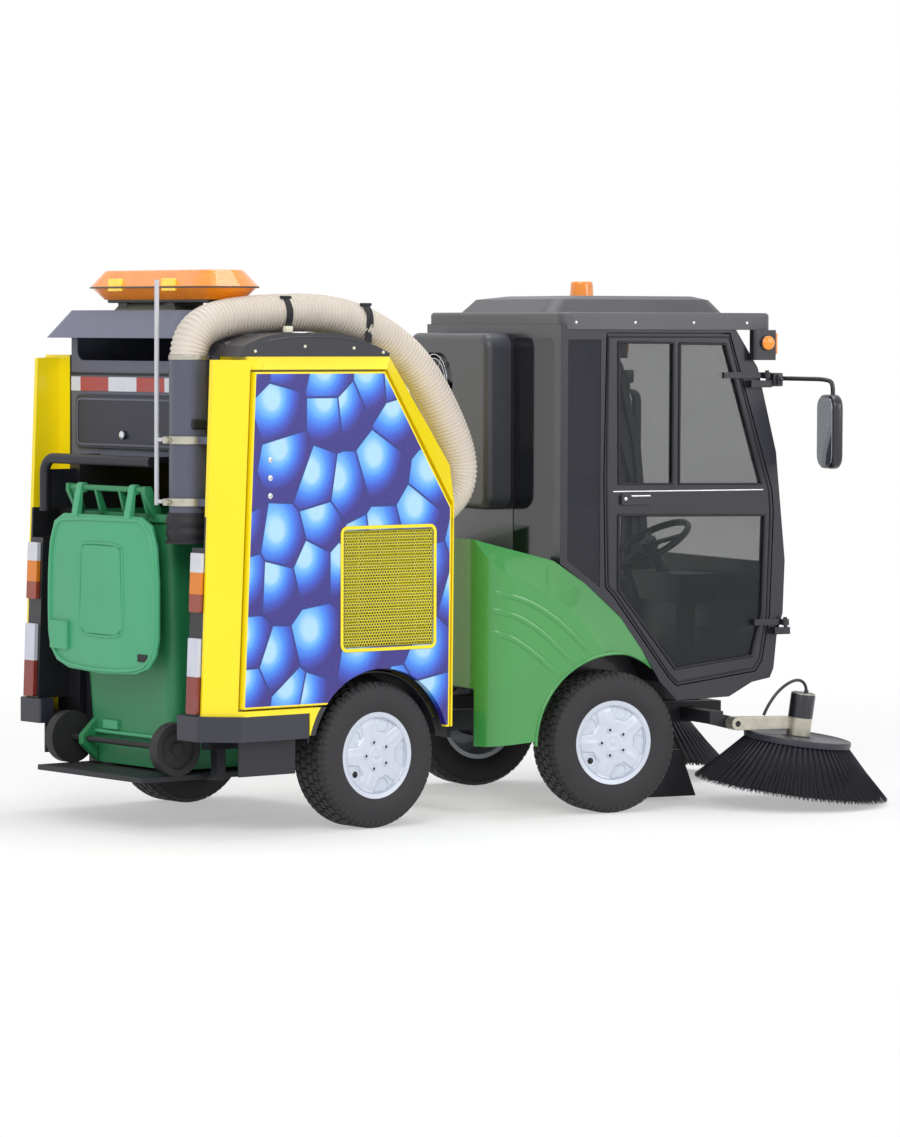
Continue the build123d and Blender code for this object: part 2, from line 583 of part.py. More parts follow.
with BuildPart() as top_cover:
    with BuildSketch(side_plane(COVER_Y[0])):
        with BuildLine():
            Polyline((COVER_X[1] - 50, ROOF_Z), (COVER_X[0] + 10, ROOF_Z), (COVER_X[0] + 30, ROOF_Z + 40))
            Spline((COVER_X[0] + 30, ROOF_Z + 40), (-520, COVER_TOP_Z - 10), (-300, COVER_TOP_Z))
            Spline((-300, COVER_TOP_Z), (-90, COVER_TOP_Z - 10), (COVER_X[1] - 50, ROOF_Z))
        make_face()
    extrude(amount=-(COVER_Y[1] - COVER_Y[0]))
write("top_cover", top_cover)

# Beacon bar across the hood on its stand
BEACON_X = -450.0
BEACON_Y = 13.0
# Sections of the lens form: height, length across the vehicle, depth
BEACON_SECTIONS = [(1992, 790, 170), (2042, 893, 285), (2104, 760, 190)]
STAND_Y = (-100, 300)

with BuildPart() as beacon_stand:
    with BuildSketch(Plane.XY.offset(HOOD_TOP_Z)):
        with Locations((BEACON_X, sum(STAND_Y) / 2)):
            Rectangle(150, STAND_Y[1] - STAND_Y[0])
    with BuildSketch(Plane.XY.offset(BEACON_SECTIONS[0][0])):
        with Locations((BEACON_X, sum(STAND_Y) / 2)):
            Rectangle(100, STAND_Y[1] - STAND_Y[0] - 60)
    loft()
write("beacon_stand", beacon_stand)

with BuildPart() as beacon_bar:
    for pair in zip(BEACON_SECTIONS, BEACON_SECTIONS[1:]):
        for z, long, deep in pair:
            with BuildSketch(Plane.XY.offset(z)):
                with Locations((BEACON_X, BEACON_Y)):
                    SlotOverall(long, deep, rotation=90)
        loft()
    fillet(beacon_bar.faces().sort_by(Axis.Z)[-1].edges(), 16)
write("beacon_bar", beacon_bar)

# Pole beside the duct, held by a link at each band clamp
POLE_X = -745.0
POLE_Y = -292.0
POLE_RADIUS = 9.0
POLE_TOP_Z = 2063.0
with BuildPart() as guide_pole:
    with BuildSketch(Plane.XY.offset(BAND_Z[0] - 14)):
        with Locations((POLE_X, POLE_Y)):
            Circle(POLE_RADIUS)
    extrude(amount=POLE_TOP_Z - BAND_Z[0] + 14)
    link_long = hypot(POLE_X - DUCT_X, POLE_Y - DUCT_Y) - BAND_RADIUS - SEAT_GAP
    for band_z in BAND_Z:
        with BuildSketch(Plane(origin=(POLE_X, POLE_Y, band_z - 7), x_dir=(DUCT_X - POLE_X, DUCT_Y - POLE_Y, 0),
                               z_dir=(0, 0, 1))):
            with Locations((link_long / 2, 0)):
                Rectangle(link_long, 14)
        extrude(amount=14)
write("guide_pole", guide_pole)

# Lamp strips on the leaning rear faces of the pillars
LAMP_Z = ((451, 742), (837, 1056))
LAMP_WIDTH = 66.0
LAMP_THICK = 16.0
lean_angle = degrees(atan(PILLAR_LEAN / (ROOF_Z - 12 - SILL_Z)))
with BuildPart() as tail_lamps:
    for side in (-1, 1):
        for low_z, high_z in LAMP_Z:
            middle_z = (max(low_z, SILL_Z + 6) + high_z) / 2
            rear_x = PILLAR_TOP_X - PILLAR_LEAN * (ROOF_Z - 12 - middle_z) / (ROOF_Z - 12 - SILL_Z)
            pillar_face = Plane(
                origin=(rear_x, side * (PILLAR_INNER + PILLAR_CORNER) / 2, middle_z),
                x_dir=(0, 1, 0),
                z_dir=(-cos(radians(lean_angle)), 0, sin(radians(lean_angle))),
            )
            with BuildSketch(pillar_face):
                RectangleRounded(LAMP_WIDTH, high_z - max(low_z, SILL_Z + 6), 6)
            extrude(amount=LAMP_THICK)
write("tail_lamps", tail_lamps)

# Lift bar over the bin, with its bent arm down beside the left pillar
BAR_X = -737.0
BAR_Y = (-250, 462)
BAR_Z = 1384.0
BAR_FOOT_Z = 1180.0
BAR_BEND = 60.0
BAR_RADIUS = 20.0
ARM_PLATE_Z = (1190, 1340)
with BuildPart() as lift_bar:
    with BuildLine() as bar_path:
        FilletPolyline((BAR_X, BAR_Y[0], BAR_Z), (BAR_X, BAR_Y[1], BAR_Z), (BAR_X, BAR_Y[1], BAR_FOOT_Z), radius=BAR_BEND)
    with BuildSketch(Plane.XZ.offset(-BAR_Y[0])):
        with Locations((BAR_X, BAR_Z)):
            Circle(BAR_RADIUS)
    sweep()
    # Two brackets to the hopper and a plate to the body's rear wall
    for y in (-200, 300):
        with BuildSketch(Plane.XZ.offset(-y)):
            with Locations(((BAR_X + HOPPER_REAR_X) / 2, BAR_Z + 6)):
                Rectangle(HOPPER_REAR_X - BAR_X, 24)
        extrude(amount=12)
    with BuildSketch(Plane.XZ.offset(-BAR_Y[1] - 7)):
        with Locations(((BAR_X + HOPPER_REAR_X) / 2, sum(ARM_PLATE_Z) / 2)):
            Rectangle(HOPPER_REAR_X - BAR_X, ARM_PLATE_Z[1] - ARM_PLATE_Z[0])
    extrude(amount=14)
write("lift_bar", lift_bar)

# Bin lift: foot plate, upright slide bars and the cross tie between them
FOOT_REAR_X = -850.0
FOOT_HALF = 345.0
with BuildPart() as bin_platform:
    with BuildSketch(Plane.XY.offset(PLATFORM_TOP_Z - 20)):
        with Locations(((FOOT_REAR_X - 170) / 2, 0)):
            Rectangle(-FOOT_REAR_X - 170, 2 * FOOT_HALF)
        with Locations((GUIDE_X, 0)):
            Rectangle(SLIDE_BAR, 2 * SLIDE_Y + SLIDE_BAR)
    extrude(amount=20)
    for side in (-1, 1):
        with BuildSketch(Plane.XY.offset(PLATFORM_TOP_Z - 20)):
            with Locations((GUIDE_X, side * SLIDE_Y)):
                Rectangle(SLIDE_BAR, SLIDE_BAR)
        extrude(amount=440)
write("bin_platform", bin_platform)

# Wheeled bin: tapered tub with a rim, handle bar on two ears, axle lugs
BIN_BOTTOM = (-650, -150, 275)
BIN_TOP = (-715, -92, 308)
BIN_WALL = 5.0
BIN_RIM = 12.0
EAR_Y = 240.0
HANDLE_RADIUS = 11.0
AXLE_RADIUS = 11.0
BIN_WHEEL_Y = 345.0
BIN_WHEEL_WIDTH = 48.0

with BuildPart() as refuse_bin:
    for inset, mode in ((0, Mode.ADD), (BIN_WALL, Mode.SUBTRACT)):
        for z, (rear_x, front_x, half) in ((BIN_FLOOR_Z + inset, BIN_BOTTOM), (BIN_TOP_Z, BIN_TOP)):
            with BuildSketch(Plane.XY.offset(z)):
                with Locations(((rear_x + front_x) / 2, 0)):
                    RectangleRounded(front_x - rear_x - 2 * inset, 2 * half - 2 * inset, 50 - inset)
        loft(mode=mode)
        if mode is Mode.ADD:
            with BuildSketch(Plane.XY.offset(BIN_TOP_Z - 30)):
                with Locations(((BIN_TOP[0] + BIN_TOP[1]) / 2, 0)):
                    RectangleRounded(BIN_TOP[1] - BIN_TOP[0] + 2 * BIN_RIM, 2 * BIN_TOP[2] + 2 * BIN_RIM, 60)
            extrude(amount=30)
            # Feet down to the foot plate
            with BuildSketch(Plane.XY.offset(PLATFORM_TOP_Z)):
                with Locations((-250, 0)):
                    Rectangle(60, 400)
            extrude(amount=BIN_FLOOR_Z - PLATFORM_TOP_Z)
    for side in (-1, 1):
        with BuildSketch(side_plane(side * EAR_Y)):
            Polygon((-700, BIN_TOP_Z - 30), (-722, BIN_TOP_Z - 30), (LID_HINGE_X - 16, LID_HINGE_Z - 14),
                    (LID_HINGE_X - 16, LID_HINGE_Z + 14), (LID_HINGE_X + 14, LID_HINGE_Z + 14), (-700, BIN_TOP_Z + 20),
                    align=None)
        extrude(amount=-side * 20)
    with BuildSketch(side_plane(-EAR_Y)):
        with Locations((LID_HINGE_X, LID_HINGE_Z)):
            Circle(HANDLE_RADIUS)
    extrude(amount=-2 * EAR_Y)
    for side in (-1, 1):
        with BuildSketch(side_plane(side * 250)):
            Polygon((-655, BIN_FLOOR_Z + 5), (-655, BIN_FLOOR_Z + 170), (BIN_WHEEL_X - 25, 330), (BIN_WHEEL_X - 25, 295),
                    align=None)
        extrude(amount=side * 30)
        with BuildSketch(side_plane(side * 251)):
            with Locations((BIN_WHEEL_X, PLATFORM_TOP_Z + SEAT_GAP + BIN_WHEEL_RADIUS)):
                Circle(AXLE_RADIUS + RUNNING_GAP)
        extrude(amount=side * 40, mode=Mode.SUBTRACT)
write("bin", refuse_bin)

# Bin lid, hanging open behind the bin from two arms on the bin's handle
LID_LONG = 600.0
LID_TOP_Z = 1180.0
LID_HALF = 362.0
LID_DEEP = 30.0
LID_FRONT_X = -775.0
LID_ARM_Y = 190.0
LID_ARM_WIDTH = 35.0
with BuildPart() as bin_lid:
    lid_plane = Plane(origin=(LID_FRONT_X, 0, LID_TOP_Z - LID_LONG / 2), x_dir=(0, -1, 0), z_dir=(-1, 0, 0))
    with BuildSketch(lid_plane):
        RectangleRounded(2 * LID_HALF, LID_LONG, 70)
    extrude(amount=LID_DEEP, taper=12)
    with BuildSketch(lid_plane):
        RectangleRounded(2 * LID_HALF - 50, LID_LONG - 50, 55)
    extrude(amount=LID_DEEP - 8, mode=Mode.SUBTRACT)
    for side in (-1, 1):
        with BuildSketch(side_plane(side * LID_ARM_Y)):
            with Locations((LID_HINGE_X, LID_HINGE_Z)):
                Circle(HANDLE_RADIUS + 8)
            Polygon((LID_HINGE_X - 19, LID_HINGE_Z), (LID_HINGE_X - 4, LID_HINGE_Z - 14), (LID_FRONT_X, LID_TOP_Z - 10),
                    (LID_FRONT_X - 20, LID_TOP_Z - 20), (LID_FRONT_X - 26, LID_TOP_Z - 4), align=None)
        extrude(amount=-side * LID_ARM_WIDTH)
        with BuildSketch(side_plane(side * (LID_ARM_Y - 1))):
            with Locations((LID_HINGE_X, LID_HINGE_Z)):
                Circle(HANDLE_RADIUS + RUNNING_GAP)
        extrude(amount=-side * (LID_ARM_WIDTH + 2), mode=Mode.SUBTRACT)
write("bin_lid", bin_lid)

# Bin wheels on their axle
BIN_AXLE_Z = PLATFORM_TOP_Z + SEAT_GAP + BIN_WHEEL_RADIUS
with BuildPart() as bin_wheels:
    with BuildSketch(side_plane(-BIN_WHEEL_Y)):
        with Locations((BIN_WHEEL_X, BIN_AXLE_Z)):
            Circle(AXLE_RADIUS)
    extrude(amount=-2 * BIN_WHEEL_Y)
    for side in (-1, 1):
        with BuildSketch(side_plane(side * (BIN_WHEEL_Y - BIN_WHEEL_WIDTH / 2))):
            with Locations((BIN_WHEEL_X, BIN_AXLE_Z)):
                Circle(BIN_WHEEL_RADIUS)
        extrude(amount=-side * BIN_WHEEL_WIDTH)
        with BuildSketch(side_plane(side * (BIN_WHEEL_Y + BIN_WHEEL_WIDTH / 2))):
            with Locations((BIN_WHEEL_X, BIN_AXLE_Z)):
                Circle(BIN_WHEEL_RADIUS - 24)
                Circle(24, mode=Mode.SUBTRACT)
        extrude(amount=side * 12, mode=Mode.SUBTRACT)
write("bin_wheels", bin_wheels)

# Front chassis: rails, fork with the pivot pin, cab feet and brush brackets
FORK_FRONT_X = 690.0
FORK_PLATE = 24.0
FORK_GAP = 10.0
WASHER = 9.7
FRONT_RAIL_END = 1900.0
CAB_FLOOR_Z = 426.0
BRUSH_PIVOT_X = 1800.0
BRUSH_PIVOT_Z = 330.0
BRUSH_BRACKET_Y = (575.0, 600.0)
PIN_BRUSH_RADIUS = 12.0

with BuildPart() as front_frame:
    with BuildSketch(Plane.XY.offset(RAIL_BOTTOM_Z)):
        for side in (-1, 1):
            with Locations(((FORK_FRONT_X + FRONT_RAIL_END) / 2, side * (FRONT_RAIL_Y + RAIL_WIDTH / 2))):
                Rectangle(FRONT_RAIL_END - FORK_FRONT_X, RAIL_WIDTH)
        for cross_x in (FORK_FRONT_X + 25, FRONT_RAIL_END - 25, BRUSH_PIVOT_X - 260):
            with Locations((cross_x, 0)):
                Rectangle(50, 2 * FRONT_RAIL_Y)
    extrude(amount=RAIL_TOP_Z - RAIL_BOTTOM_Z)
    # Head plate behind the rails carries the fork's two plates
    with BuildSketch(Plane.YZ.offset(FORK_FRONT_X - 16)):
        with Locations((0, (TONGUE_LOW_Z + TONGUE_HIGH_Z) / 2)):
            Rectangle(2 * (FRONT_RAIL_Y + RAIL_WIDTH), TONGUE_HIGH_Z - TONGUE_LOW_Z + 2 * (FORK_GAP + FORK_PLATE))
    extrude(amount=16)
    for z in (TONGUE_LOW_Z - FORK_GAP - FORK_PLATE, TONGUE_HIGH_Z + FORK_GAP):
        with BuildSketch(Plane.XY.offset(z)):
            with Locations(((PIVOT_X + FORK_FRONT_X) / 2, 0)):
                Rectangle(FORK_FRONT_X - PIVOT_X, 2 * TONGUE_HALF)
            with Locations((PIVOT_X, 0)):
                Circle(TONGUE_HALF)
        extrude(amount=FORK_PLATE)
    with BuildSketch(Plane.XY.offset(TONGUE_LOW_Z - FORK_GAP - FORK_PLATE - 8)):
        with Locations((PIVOT_X, 0)):
            Circle(PIVOT_PIN_RADIUS)
    extrude(amount=TONGUE_HIGH_Z - TONGUE_LOW_Z + 2 * (FORK_GAP + FORK_PLATE + 8))
    for z in (TONGUE_LOW_Z - FORK_GAP, TONGUE_HIGH_Z + SEAT_GAP):
        with BuildSketch(Plane.XY.offset(z)):
            with Locations((PIVOT_X, 0)):
                Circle(PIVOT_PIN_RADIUS + 14)
        extrude(amount=WASHER)
    # Feet under the cab floor
    with BuildSketch(Plane.XY.offset(RAIL_TOP_Z)):
        with Locations((1330, 0)):
            with GridLocations(400, 2 * FRONT_RAIL_Y + RAIL_WIDTH, 2, 2):
                Circle(22)
    extrude(amount=CAB_FLOOR_Z - RAIL_TOP_Z)
    # Outriggers for the brush arms, each with its pin
    for side in (-1, 1):
        with BuildSketch(Plane.XY.offset(RAIL_BOTTOM_Z + 10)):
            with Locations((BRUSH_PIVOT_X - 60, side * (FRONT_RAIL_Y + RAIL_WIDTH + BRUSH_BRACKET_Y[1]) / 2)):
                Rectangle(60, BRUSH_BRACKET_Y[1] - FRONT_RAIL_Y - RAIL_WIDTH)
        extrude(amount=50)
        with BuildSketch(side_plane(side * BRUSH_BRACKET_Y[0])):
            Polygon((BRUSH_PIVOT_X - 90, RAIL_BOTTOM_Z + 10), (BRUSH_PIVOT_X - 90, RAIL_BOTTOM_Z + 60),
                    (BRUSH_PIVOT_X + 5, BRUSH_PIVOT_Z + 26), (BRUSH_PIVOT_X + 26, BRUSH_PIVOT_Z),
                    (BRUSH_PIVOT_X + 5, BRUSH_PIVOT_Z - 26), align=None)
        extrude(amount=-side * (BRUSH_BRACKET_Y[1] - BRUSH_BRACKET_Y[0]))
        with BuildSketch(side_plane(side * BRUSH_BRACKET_Y[1])):
            with Locations((BRUSH_PIVOT_X, BRUSH_PIVOT_Z)):
                Circle(PIN_BRUSH_RADIUS)
        extrude(amount=-side * 60)
write("front_frame", front_frame, True)

# Wings: green covers over the front wheels, bevelled towards the cab
WING_REAR_X = 665.0
WING_CORNER = 130.0
WING_FOOT_Z = 276.0
WING_INNER = [(WING_REAR_X, 1076), (779, 1046), (1013, 987), (1148, 898), (1308, 759), (1403, 630), (1478, 503),
              (1478, 330), (WING_REAR_X, 276), (WING_REAR_X, 500)]
WING_OUTER = [(WING_REAR_X, 978), (760, 944), (855, 914), (963, 853), (1070, 775), (1183, 631), (1290, 622),
              (1300, 330), (WING_REAR_X, 276), (WING_REAR_X, 500)]
WING_REAR_INNER = 415.0
with BuildPart() as wing_right:
    with BuildSketch(side_plane(-CAB_HALF - SEAT_GAP)):
        Polygon(*WING_INNER, align=None)
    with BuildSketch(side_plane(-WING_HALF)):
        Polygon(*WING_OUTER, align=None)
    loft()
    # Part behind the cab's corner, round to the middle
    with BuildSketch(side_plane(-CAB_HALF - SEAT_GAP)):
        Polygon((WING_REAR_X, 1076), (779, 1046), (990, 993), (990, 500), (WING_REAR_X, 500), align=None)
    extrude(amount=-(CAB_HALF + SEAT_GAP - WING_REAR_INNER))
    with BuildSketch(side_plane(-WING_HALF - 1)):
        with Locations((WHEELBASE, TYRE_RADIUS)):
            Circle(WING_ARCH)
        Polygon((WING_REAR_X - 5, 200), (WING_REAR_X - 5, WING_FOOT_Z + 2), (2000, WING_FOOT_Z + 2), (2000, 200), align=None)
        Polygon((WHEELBASE, 200), (WHEELBASE, 500), (2000, 500), (2000, 200), align=None)
    extrude(amount=-(WING_HALF + 1 - TUB_HALF), mode=Mode.SUBTRACT)
    # Round rear corner, so that the wing swings past the rear module
    with BuildSketch(Plane.XY):
        with Locations((WING_REAR_X - 1 + WING_CORNER / 2, -WING_HALF - 1 + WING_CORNER / 2)):
            Rectangle(WING_CORNER + 2, WING_CORNER + 2)
        with Locations((WING_REAR_X + WING_CORNER, -WING_HALF + WING_CORNER)):
            Circle(WING_CORNER, mode=Mode.SUBTRACT)
    extrude(amount=1200, mode=Mode.SUBTRACT)
with BuildPart() as wings:
    add(wing_right.part)
    mirror(about=Plane.XZ)
write("wings", wings, True)

# Cab: a prism of its side profile over the wheel houses, with a tub between them
CAB_PROFILE = [
    (CAB_REAR_X, 1905),
    (1803, 1905),
    (1820, 1882),
    (1917, 1735),
    (2003, 1401),
    (2046, 971),
    (2038, 760),
    (2011, 669),
    (1998, 542),
    (1981, 504),
    (1900, 489),
    (1796, 434),
    (1562, 426),
    (1485, 501),
    (1403, 630),
    (1308, 759),
    (1148, 898),
    (CAB_REAR_X, 975),
]
DOOR_OUTLINE = [
    (1244, 1868),
    (1788, 1868),
    (1981, 1257),
    (1990, 1169),
    (1975, 755),
    (1941, 573),
    (1914, 534),
    (1561, 487),
    (1526, 518),
    (1279, 843),
    (1242, 881),
    (1233, 1299),
]
SIDE_WALL = 50.0
DOOR_GAP = 5.0
DOOR_LAP = 15.0
GLASS_THICK = 6.0
QUARTER_PANE = [(1072, 1845), (1215, 1845), (1215, 880), (1180, 905), (1072, 985)]
REAR_PANE_Y = (-540, -190)
REAR_PANE_Z = (985, 1850)
SCREEN_HALF = 535.0
SCREEN_Z = (960, 1840)
HINGE_LOW = (2035, -630, 710)
HINGE_HIGH = (1945, -630, 1690)
HINGE_PIN = 8.0
hinge_dir = tuple(high - low for high, low in zip(HINGE_HIGH, HINGE_LOW))

with BuildPart() as cab_body:
    with BuildSketch(side_plane(-CAB_HALF)):
        Polygon(*CAB_PROFILE, align=None)
    extrude(amount=-2 * CAB_HALF)
    with BuildSketch(side_plane(-TUB_HALF)):
        Polygon((CAB_REAR_X, CAB_FLOOR_Z), (1562, CAB_FLOOR_Z), (1562, 1000), (CAB_REAR_X, 1000), align=None)
    extrude(amount=-2 * TUB_HALF)
    # Inside
    with BuildSketch(side_plane(-CAB_HALF + SIDE_WALL)):
        Polygon(*CAB_PROFILE, align=None)
        offset(amount=-CAB_WALL, kind=Kind.INTERSECTION, mode=Mode.REPLACE)
    extrude(amount=-2 * (CAB_HALF - SIDE_WALL), mode=Mode.SUBTRACT)
    with BuildSketch(side_plane(-TUB_HALF + CAB_WALL)):
        Polygon((CAB_REAR_X + CAB_WALL, CAB_FLOOR_Z + CAB_WALL), (1600, CAB_FLOOR_Z + CAB_WALL), (1600, 1100),
                (CAB_REAR_X + CAB_WALL, 1100), align=None)
    extrude(amount=-2 * (TUB_HALF - CAB_WALL), mode=Mode.SUBTRACT)
    # Door openings with the flange that the doors close on, and the quarter windows
    for side in (-1, 1):
        with BuildSketch(side_plane(side * (CAB_HALF + 1))):
            Polygon(*DOOR_OUTLINE, align=None)
            offset(amount=DOOR_GAP, kind=Kind.INTERSECTION, mode=Mode.REPLACE)
        extrude(amount=side * (DOOR_THICK + SEAT_GAP + 1), mode=Mode.SUBTRACT)
        with BuildSketch(side_plane(side * (CAB_HALF + 1))):
            Polygon(*DOOR_OUTLINE, align=None)
            offset(amount=-DOOR_LAP, kind=Kind.INTERSECTION, mode=Mode.REPLACE)
        extrude(amount=side * (SIDE_WALL + 2), mode=Mode.SUBTRACT)
        with BuildSketch(side_plane(side * (CAB_HALF + 1))):
            Polygon(*QUARTER_PANE, align=None)
        extrude(amount=side * (SIDE_WALL + 2), mode=Mode.SUBTRACT)
    # Windscreen and rear window
    with BuildSketch(Plane.YZ.offset(1700)):
        with Locations((0, sum(SCREEN_Z) / 2)):
            RectangleRounded(2 * SCREEN_HALF, SCREEN_Z[1] - SCREEN_Z[0], 40)
    extrude(amount=400, mode=Mode.SUBTRACT)
    with BuildSketch(Plane.YZ.offset(CAB_REAR_X - 1)):
        with Locations((sum(REAR_PANE_Y) / 2, sum(REAR_PANE_Z) / 2)):
            RectangleRounded(REAR_PANE_Y[1] - REAR_PANE_Y[0], REAR_PANE_Z[1] - REAR_PANE_Z[0], 30)
    extrude(amount=CAB_WALL + 2, mode=Mode.SUBTRACT)
    # Outside hinge brackets of the doors, each with its pin
    for side in (-1, 1):
        for (hinge_x, hinge_y, hinge_z), inner_x in ((HINGE_LOW, 1996), (HINGE_HIGH, 1881)):
            with BuildSketch(Plane.XY.offset(hinge_z - 32)):
                with Locations(((inner_x + hinge_x) / 2, side * (CAB_HALF - hinge_y + 10) / 2)):
                    Rectangle(hinge_x - inner_x + 30, -hinge_y + 10 - CAB_HALF)
            extrude(amount=28)
            pin_plane = Plane(origin=(hinge_x, -side * hinge_y, hinge_z), x_dir=(0, 1, 0), z_dir=hinge_dir)
            with BuildSketch(pin_plane.offset(-18)):
                Circle(HINGE_PIN)
            extrude(amount=54)
write("cab_body", cab_body, True)

# Fixed panes: windscreen, quarter windows and rear window
with BuildPart() as cab_glass:
    with BuildSketch(side_plane(-SCREEN_HALF)):
        Polygon(*CAB_PROFILE, align=None)
        offset(amount=-GLASS_THICK, kind=Kind.INTERSECTION, mode=Mode.SUBTRACT)
    extrude(amount=-2 * SCREEN_HALF)
    with BuildSketch(Plane.YZ.offset(1700)):
        with Locations((0, sum(SCREEN_Z) / 2)):
            RectangleRounded(2 * SCREEN_HALF, SCREEN_Z[1] - SCREEN_Z[0], 40)
    extrude(amount=400, mode=Mode.INTERSECT)
    for side in (-1, 1):
        with BuildSketch(side_plane(side * (CAB_HALF - 2))):
            Polygon(*QUARTER_PANE, align=None)
        extrude(amount=side * GLASS_THICK)
    with BuildSketch(Plane.YZ.offset(CAB_REAR_X + 2)):
        with Locations((sum(REAR_PANE_Y) / 2, sum(REAR_PANE_Z) / 2)):
            RectangleRounded(REAR_PANE_Y[1] - REAR_PANE_Y[0], REAR_PANE_Z[1] - REAR_PANE_Z[0], 30)
    extrude(amount=GLASS_THICK)
write("cab_glass", cab_glass, True)

# Doors: outline plate with two windows, the upper one parted by the slider bar, a handle and the hinge arms
UPPER_PANES = [
    [(1295, 1832), (1534, 1829), (1534, 1283), (1298, 1286)],
    [(1566, 1828), (1768, 1825), (1935, 1279), (1566, 1283)],
]
LOWER_PANE = [(1299, 1157), (1950, 1148), (1939, 766), (1895, 596), (1552, 555), (1300, 868)]
HANDLE_X = (1303, 1440)
HANDLE_Z = 1222.0

with BuildPart() as cab_door_right:
    with BuildSketch(side_plane(-CAB_HALF)):
        Polygon(*DOOR_OUTLINE, align=None)
        for pane in (*UPPER_PANES, LOWER_PANE):
            Polygon(*pane, align=None, mode=Mode.SUBTRACT)
    extrude(amount=-DOOR_THICK)
    with BuildSketch(side_plane(-CAB_HALF)):
        with Locations((sum(HANDLE_X) / 2, HANDLE_Z)):
            RectangleRounded(HANDLE_X[1] - HANDLE_X[0], 44, 12)
    extrude(amount=14)
    for (hinge_x, hinge_y, hinge_z), inner_x in ((HINGE_LOW, 1900), (HINGE_HIGH, 1755)):
        with BuildSketch(Plane.XY.offset(hinge_z + 4)):
            with Locations(((inner_x + hinge_x) / 2, -CAB_HALF - 12)):
                Rectangle(hinge_x - inner_x, 12)
            with Locations((inner_x + 28, -CAB_HALF - 3)):
                Rectangle(56, 6)
        extrude(amount=24)
        knuckle_plane = Plane(origin=(hinge_x, hinge_y, hinge_z), x_dir=(0, 1, 0), z_dir=hinge_dir)
        with BuildSketch(knuckle_plane.offset(4)):
            Circle(HINGE_PIN + 7)
            with Locations((HINGE_PIN + 4, 0)):
                Rectangle(2 * HINGE_PIN, 2 * HINGE_PIN)
        extrude(amount=24)
        with BuildSketch(knuckle_plane):
            Circle(HINGE_PIN + RUNNING_GAP)
        extrude(amount=40, mode=Mode.SUBTRACT)
write("cab_door_right", cab_door_right, True)
cab_door_left = mirrored(cab_door_right)
write("cab_door_left", cab_door_left, True)

with BuildPart() as door_glass_right:
    with BuildSketch(side_plane(-CAB_HALF + 8)):
        for pane in (*UPPER_PANES, LOWER_PANE):
            Polygon(*pane, align=None)
    extrude(amount=-GLASS_THICK)
write("door_glass_right", door_glass_right, True)
door_glass_left = mirrored(door_glass_right)
write("door_glass_left", door_glass_left, True)

# Cab roof: slab with a visor in front, side skirts and the domed middle
ROOF_FRONT_X = 1980.0
ROOF_HALF = 610.0
ROOF_SLAB_Z = (1905, 1952)
VISOR_X = 1830.0
SKIRT_Z = 1885.0
DOME = [(1952, 1078, 1885, 402), (2004, 1128, 1842, 372), (2018, 1250, 1790, 330)]
with BuildPart() as cab_roof:
    with BuildSketch(Plane.XY.offset(ROOF_SLAB_Z[0])):
        with Locations(((CAB_REAR_X + 3 + ROOF_FRONT_X) / 2, 0)):
            RectangleRounded(ROOF_FRONT_X - CAB_REAR_X - 3, 2 * ROOF_HALF, 50)
    extrude(amount=ROOF_SLAB_Z[1] - ROOF_SLAB_Z[0])
    with BuildSketch(Plane.XY.offset(SKIRT_Z)):
        with Locations(((CAB_REAR_X + 3 + ROOF_FRONT_X) / 2, 0)):
            RectangleRounded(ROOF_FRONT_X - CAB_REAR_X - 3, 2 * ROOF_HALF, 50)
        with Locations(((CAB_REAR_X + VISOR_X) / 2 - 50, 0)):
            Rectangle(VISOR_X - CAB_REAR_X + 100, 2 * (CAB_HALF + SEAT_GAP), mode=Mode.SUBTRACT)
    extrude(amount=ROOF_SLAB_Z[0] - SKIRT_Z)
    fillet(cab_roof.faces().sort_by(Axis.Z)[-1].edges(), 14)
    for (low_z, low_rear, low_front, low_half), (high_z, high_rear, high_front, high_half) in zip(DOME, DOME[1:]):
        for z, rear, front, half in ((low_z, low_rear, low_front, low_half), (high_z, high_rear, high_front, high_half)):
            with BuildSketch(Plane.XY.offset(z)):
                with Locations(((rear + front) / 2, 0)):
                    RectangleRounded(front - rear, 2 * half, 60)
        loft()
write("cab_roof", cab_roof, True)

# Cooler box on the cab's rear wall, with its fan opening and latch
COOLER_Y = (-170, 560)
COOLER_Z = (1169, 1869)
COOLER_DEEP = 110.0
FAN_Y = 305.0
FAN_Z = 1660.0
FAN_HALF = 170.0
FAN_RADIUS = 130.0
with BuildPart() as cooler_box:
    with BuildSketch(Plane.YZ.offset(CAB_REAR_X - COOLER_DEEP)):
        with Locations((sum(COOLER_Y) / 2, sum(COOLER_Z) / 2)):
            RectangleRounded(COOLER_Y[1] - COOLER_Y[0], COOLER_Z[1] - COOLER_Z[0], 60)
    extrude(amount=COOLER_DEEP)
    fillet(cooler_box.faces().sort_by(Axis.X)[0].edges(), 30)
    with BuildSketch(Plane.YZ.offset(CAB_REAR_X - COOLER_DEEP - 1)):
        with Locations((FAN_Y, FAN_Z)):
            SlotOverall(2 * FAN_HALF, 2 * FAN_RADIUS)
    extrude(amount=60, mode=Mode.SUBTRACT)
    with BuildSketch(Plane.YZ.offset(CAB_REAR_X - COOLER_DEEP + 59)):
        with Locations((FAN_Y, FAN_Z)):
            Circle(40)
    extrude(amount=-40)
write("cooler_box", cooler_box, True)

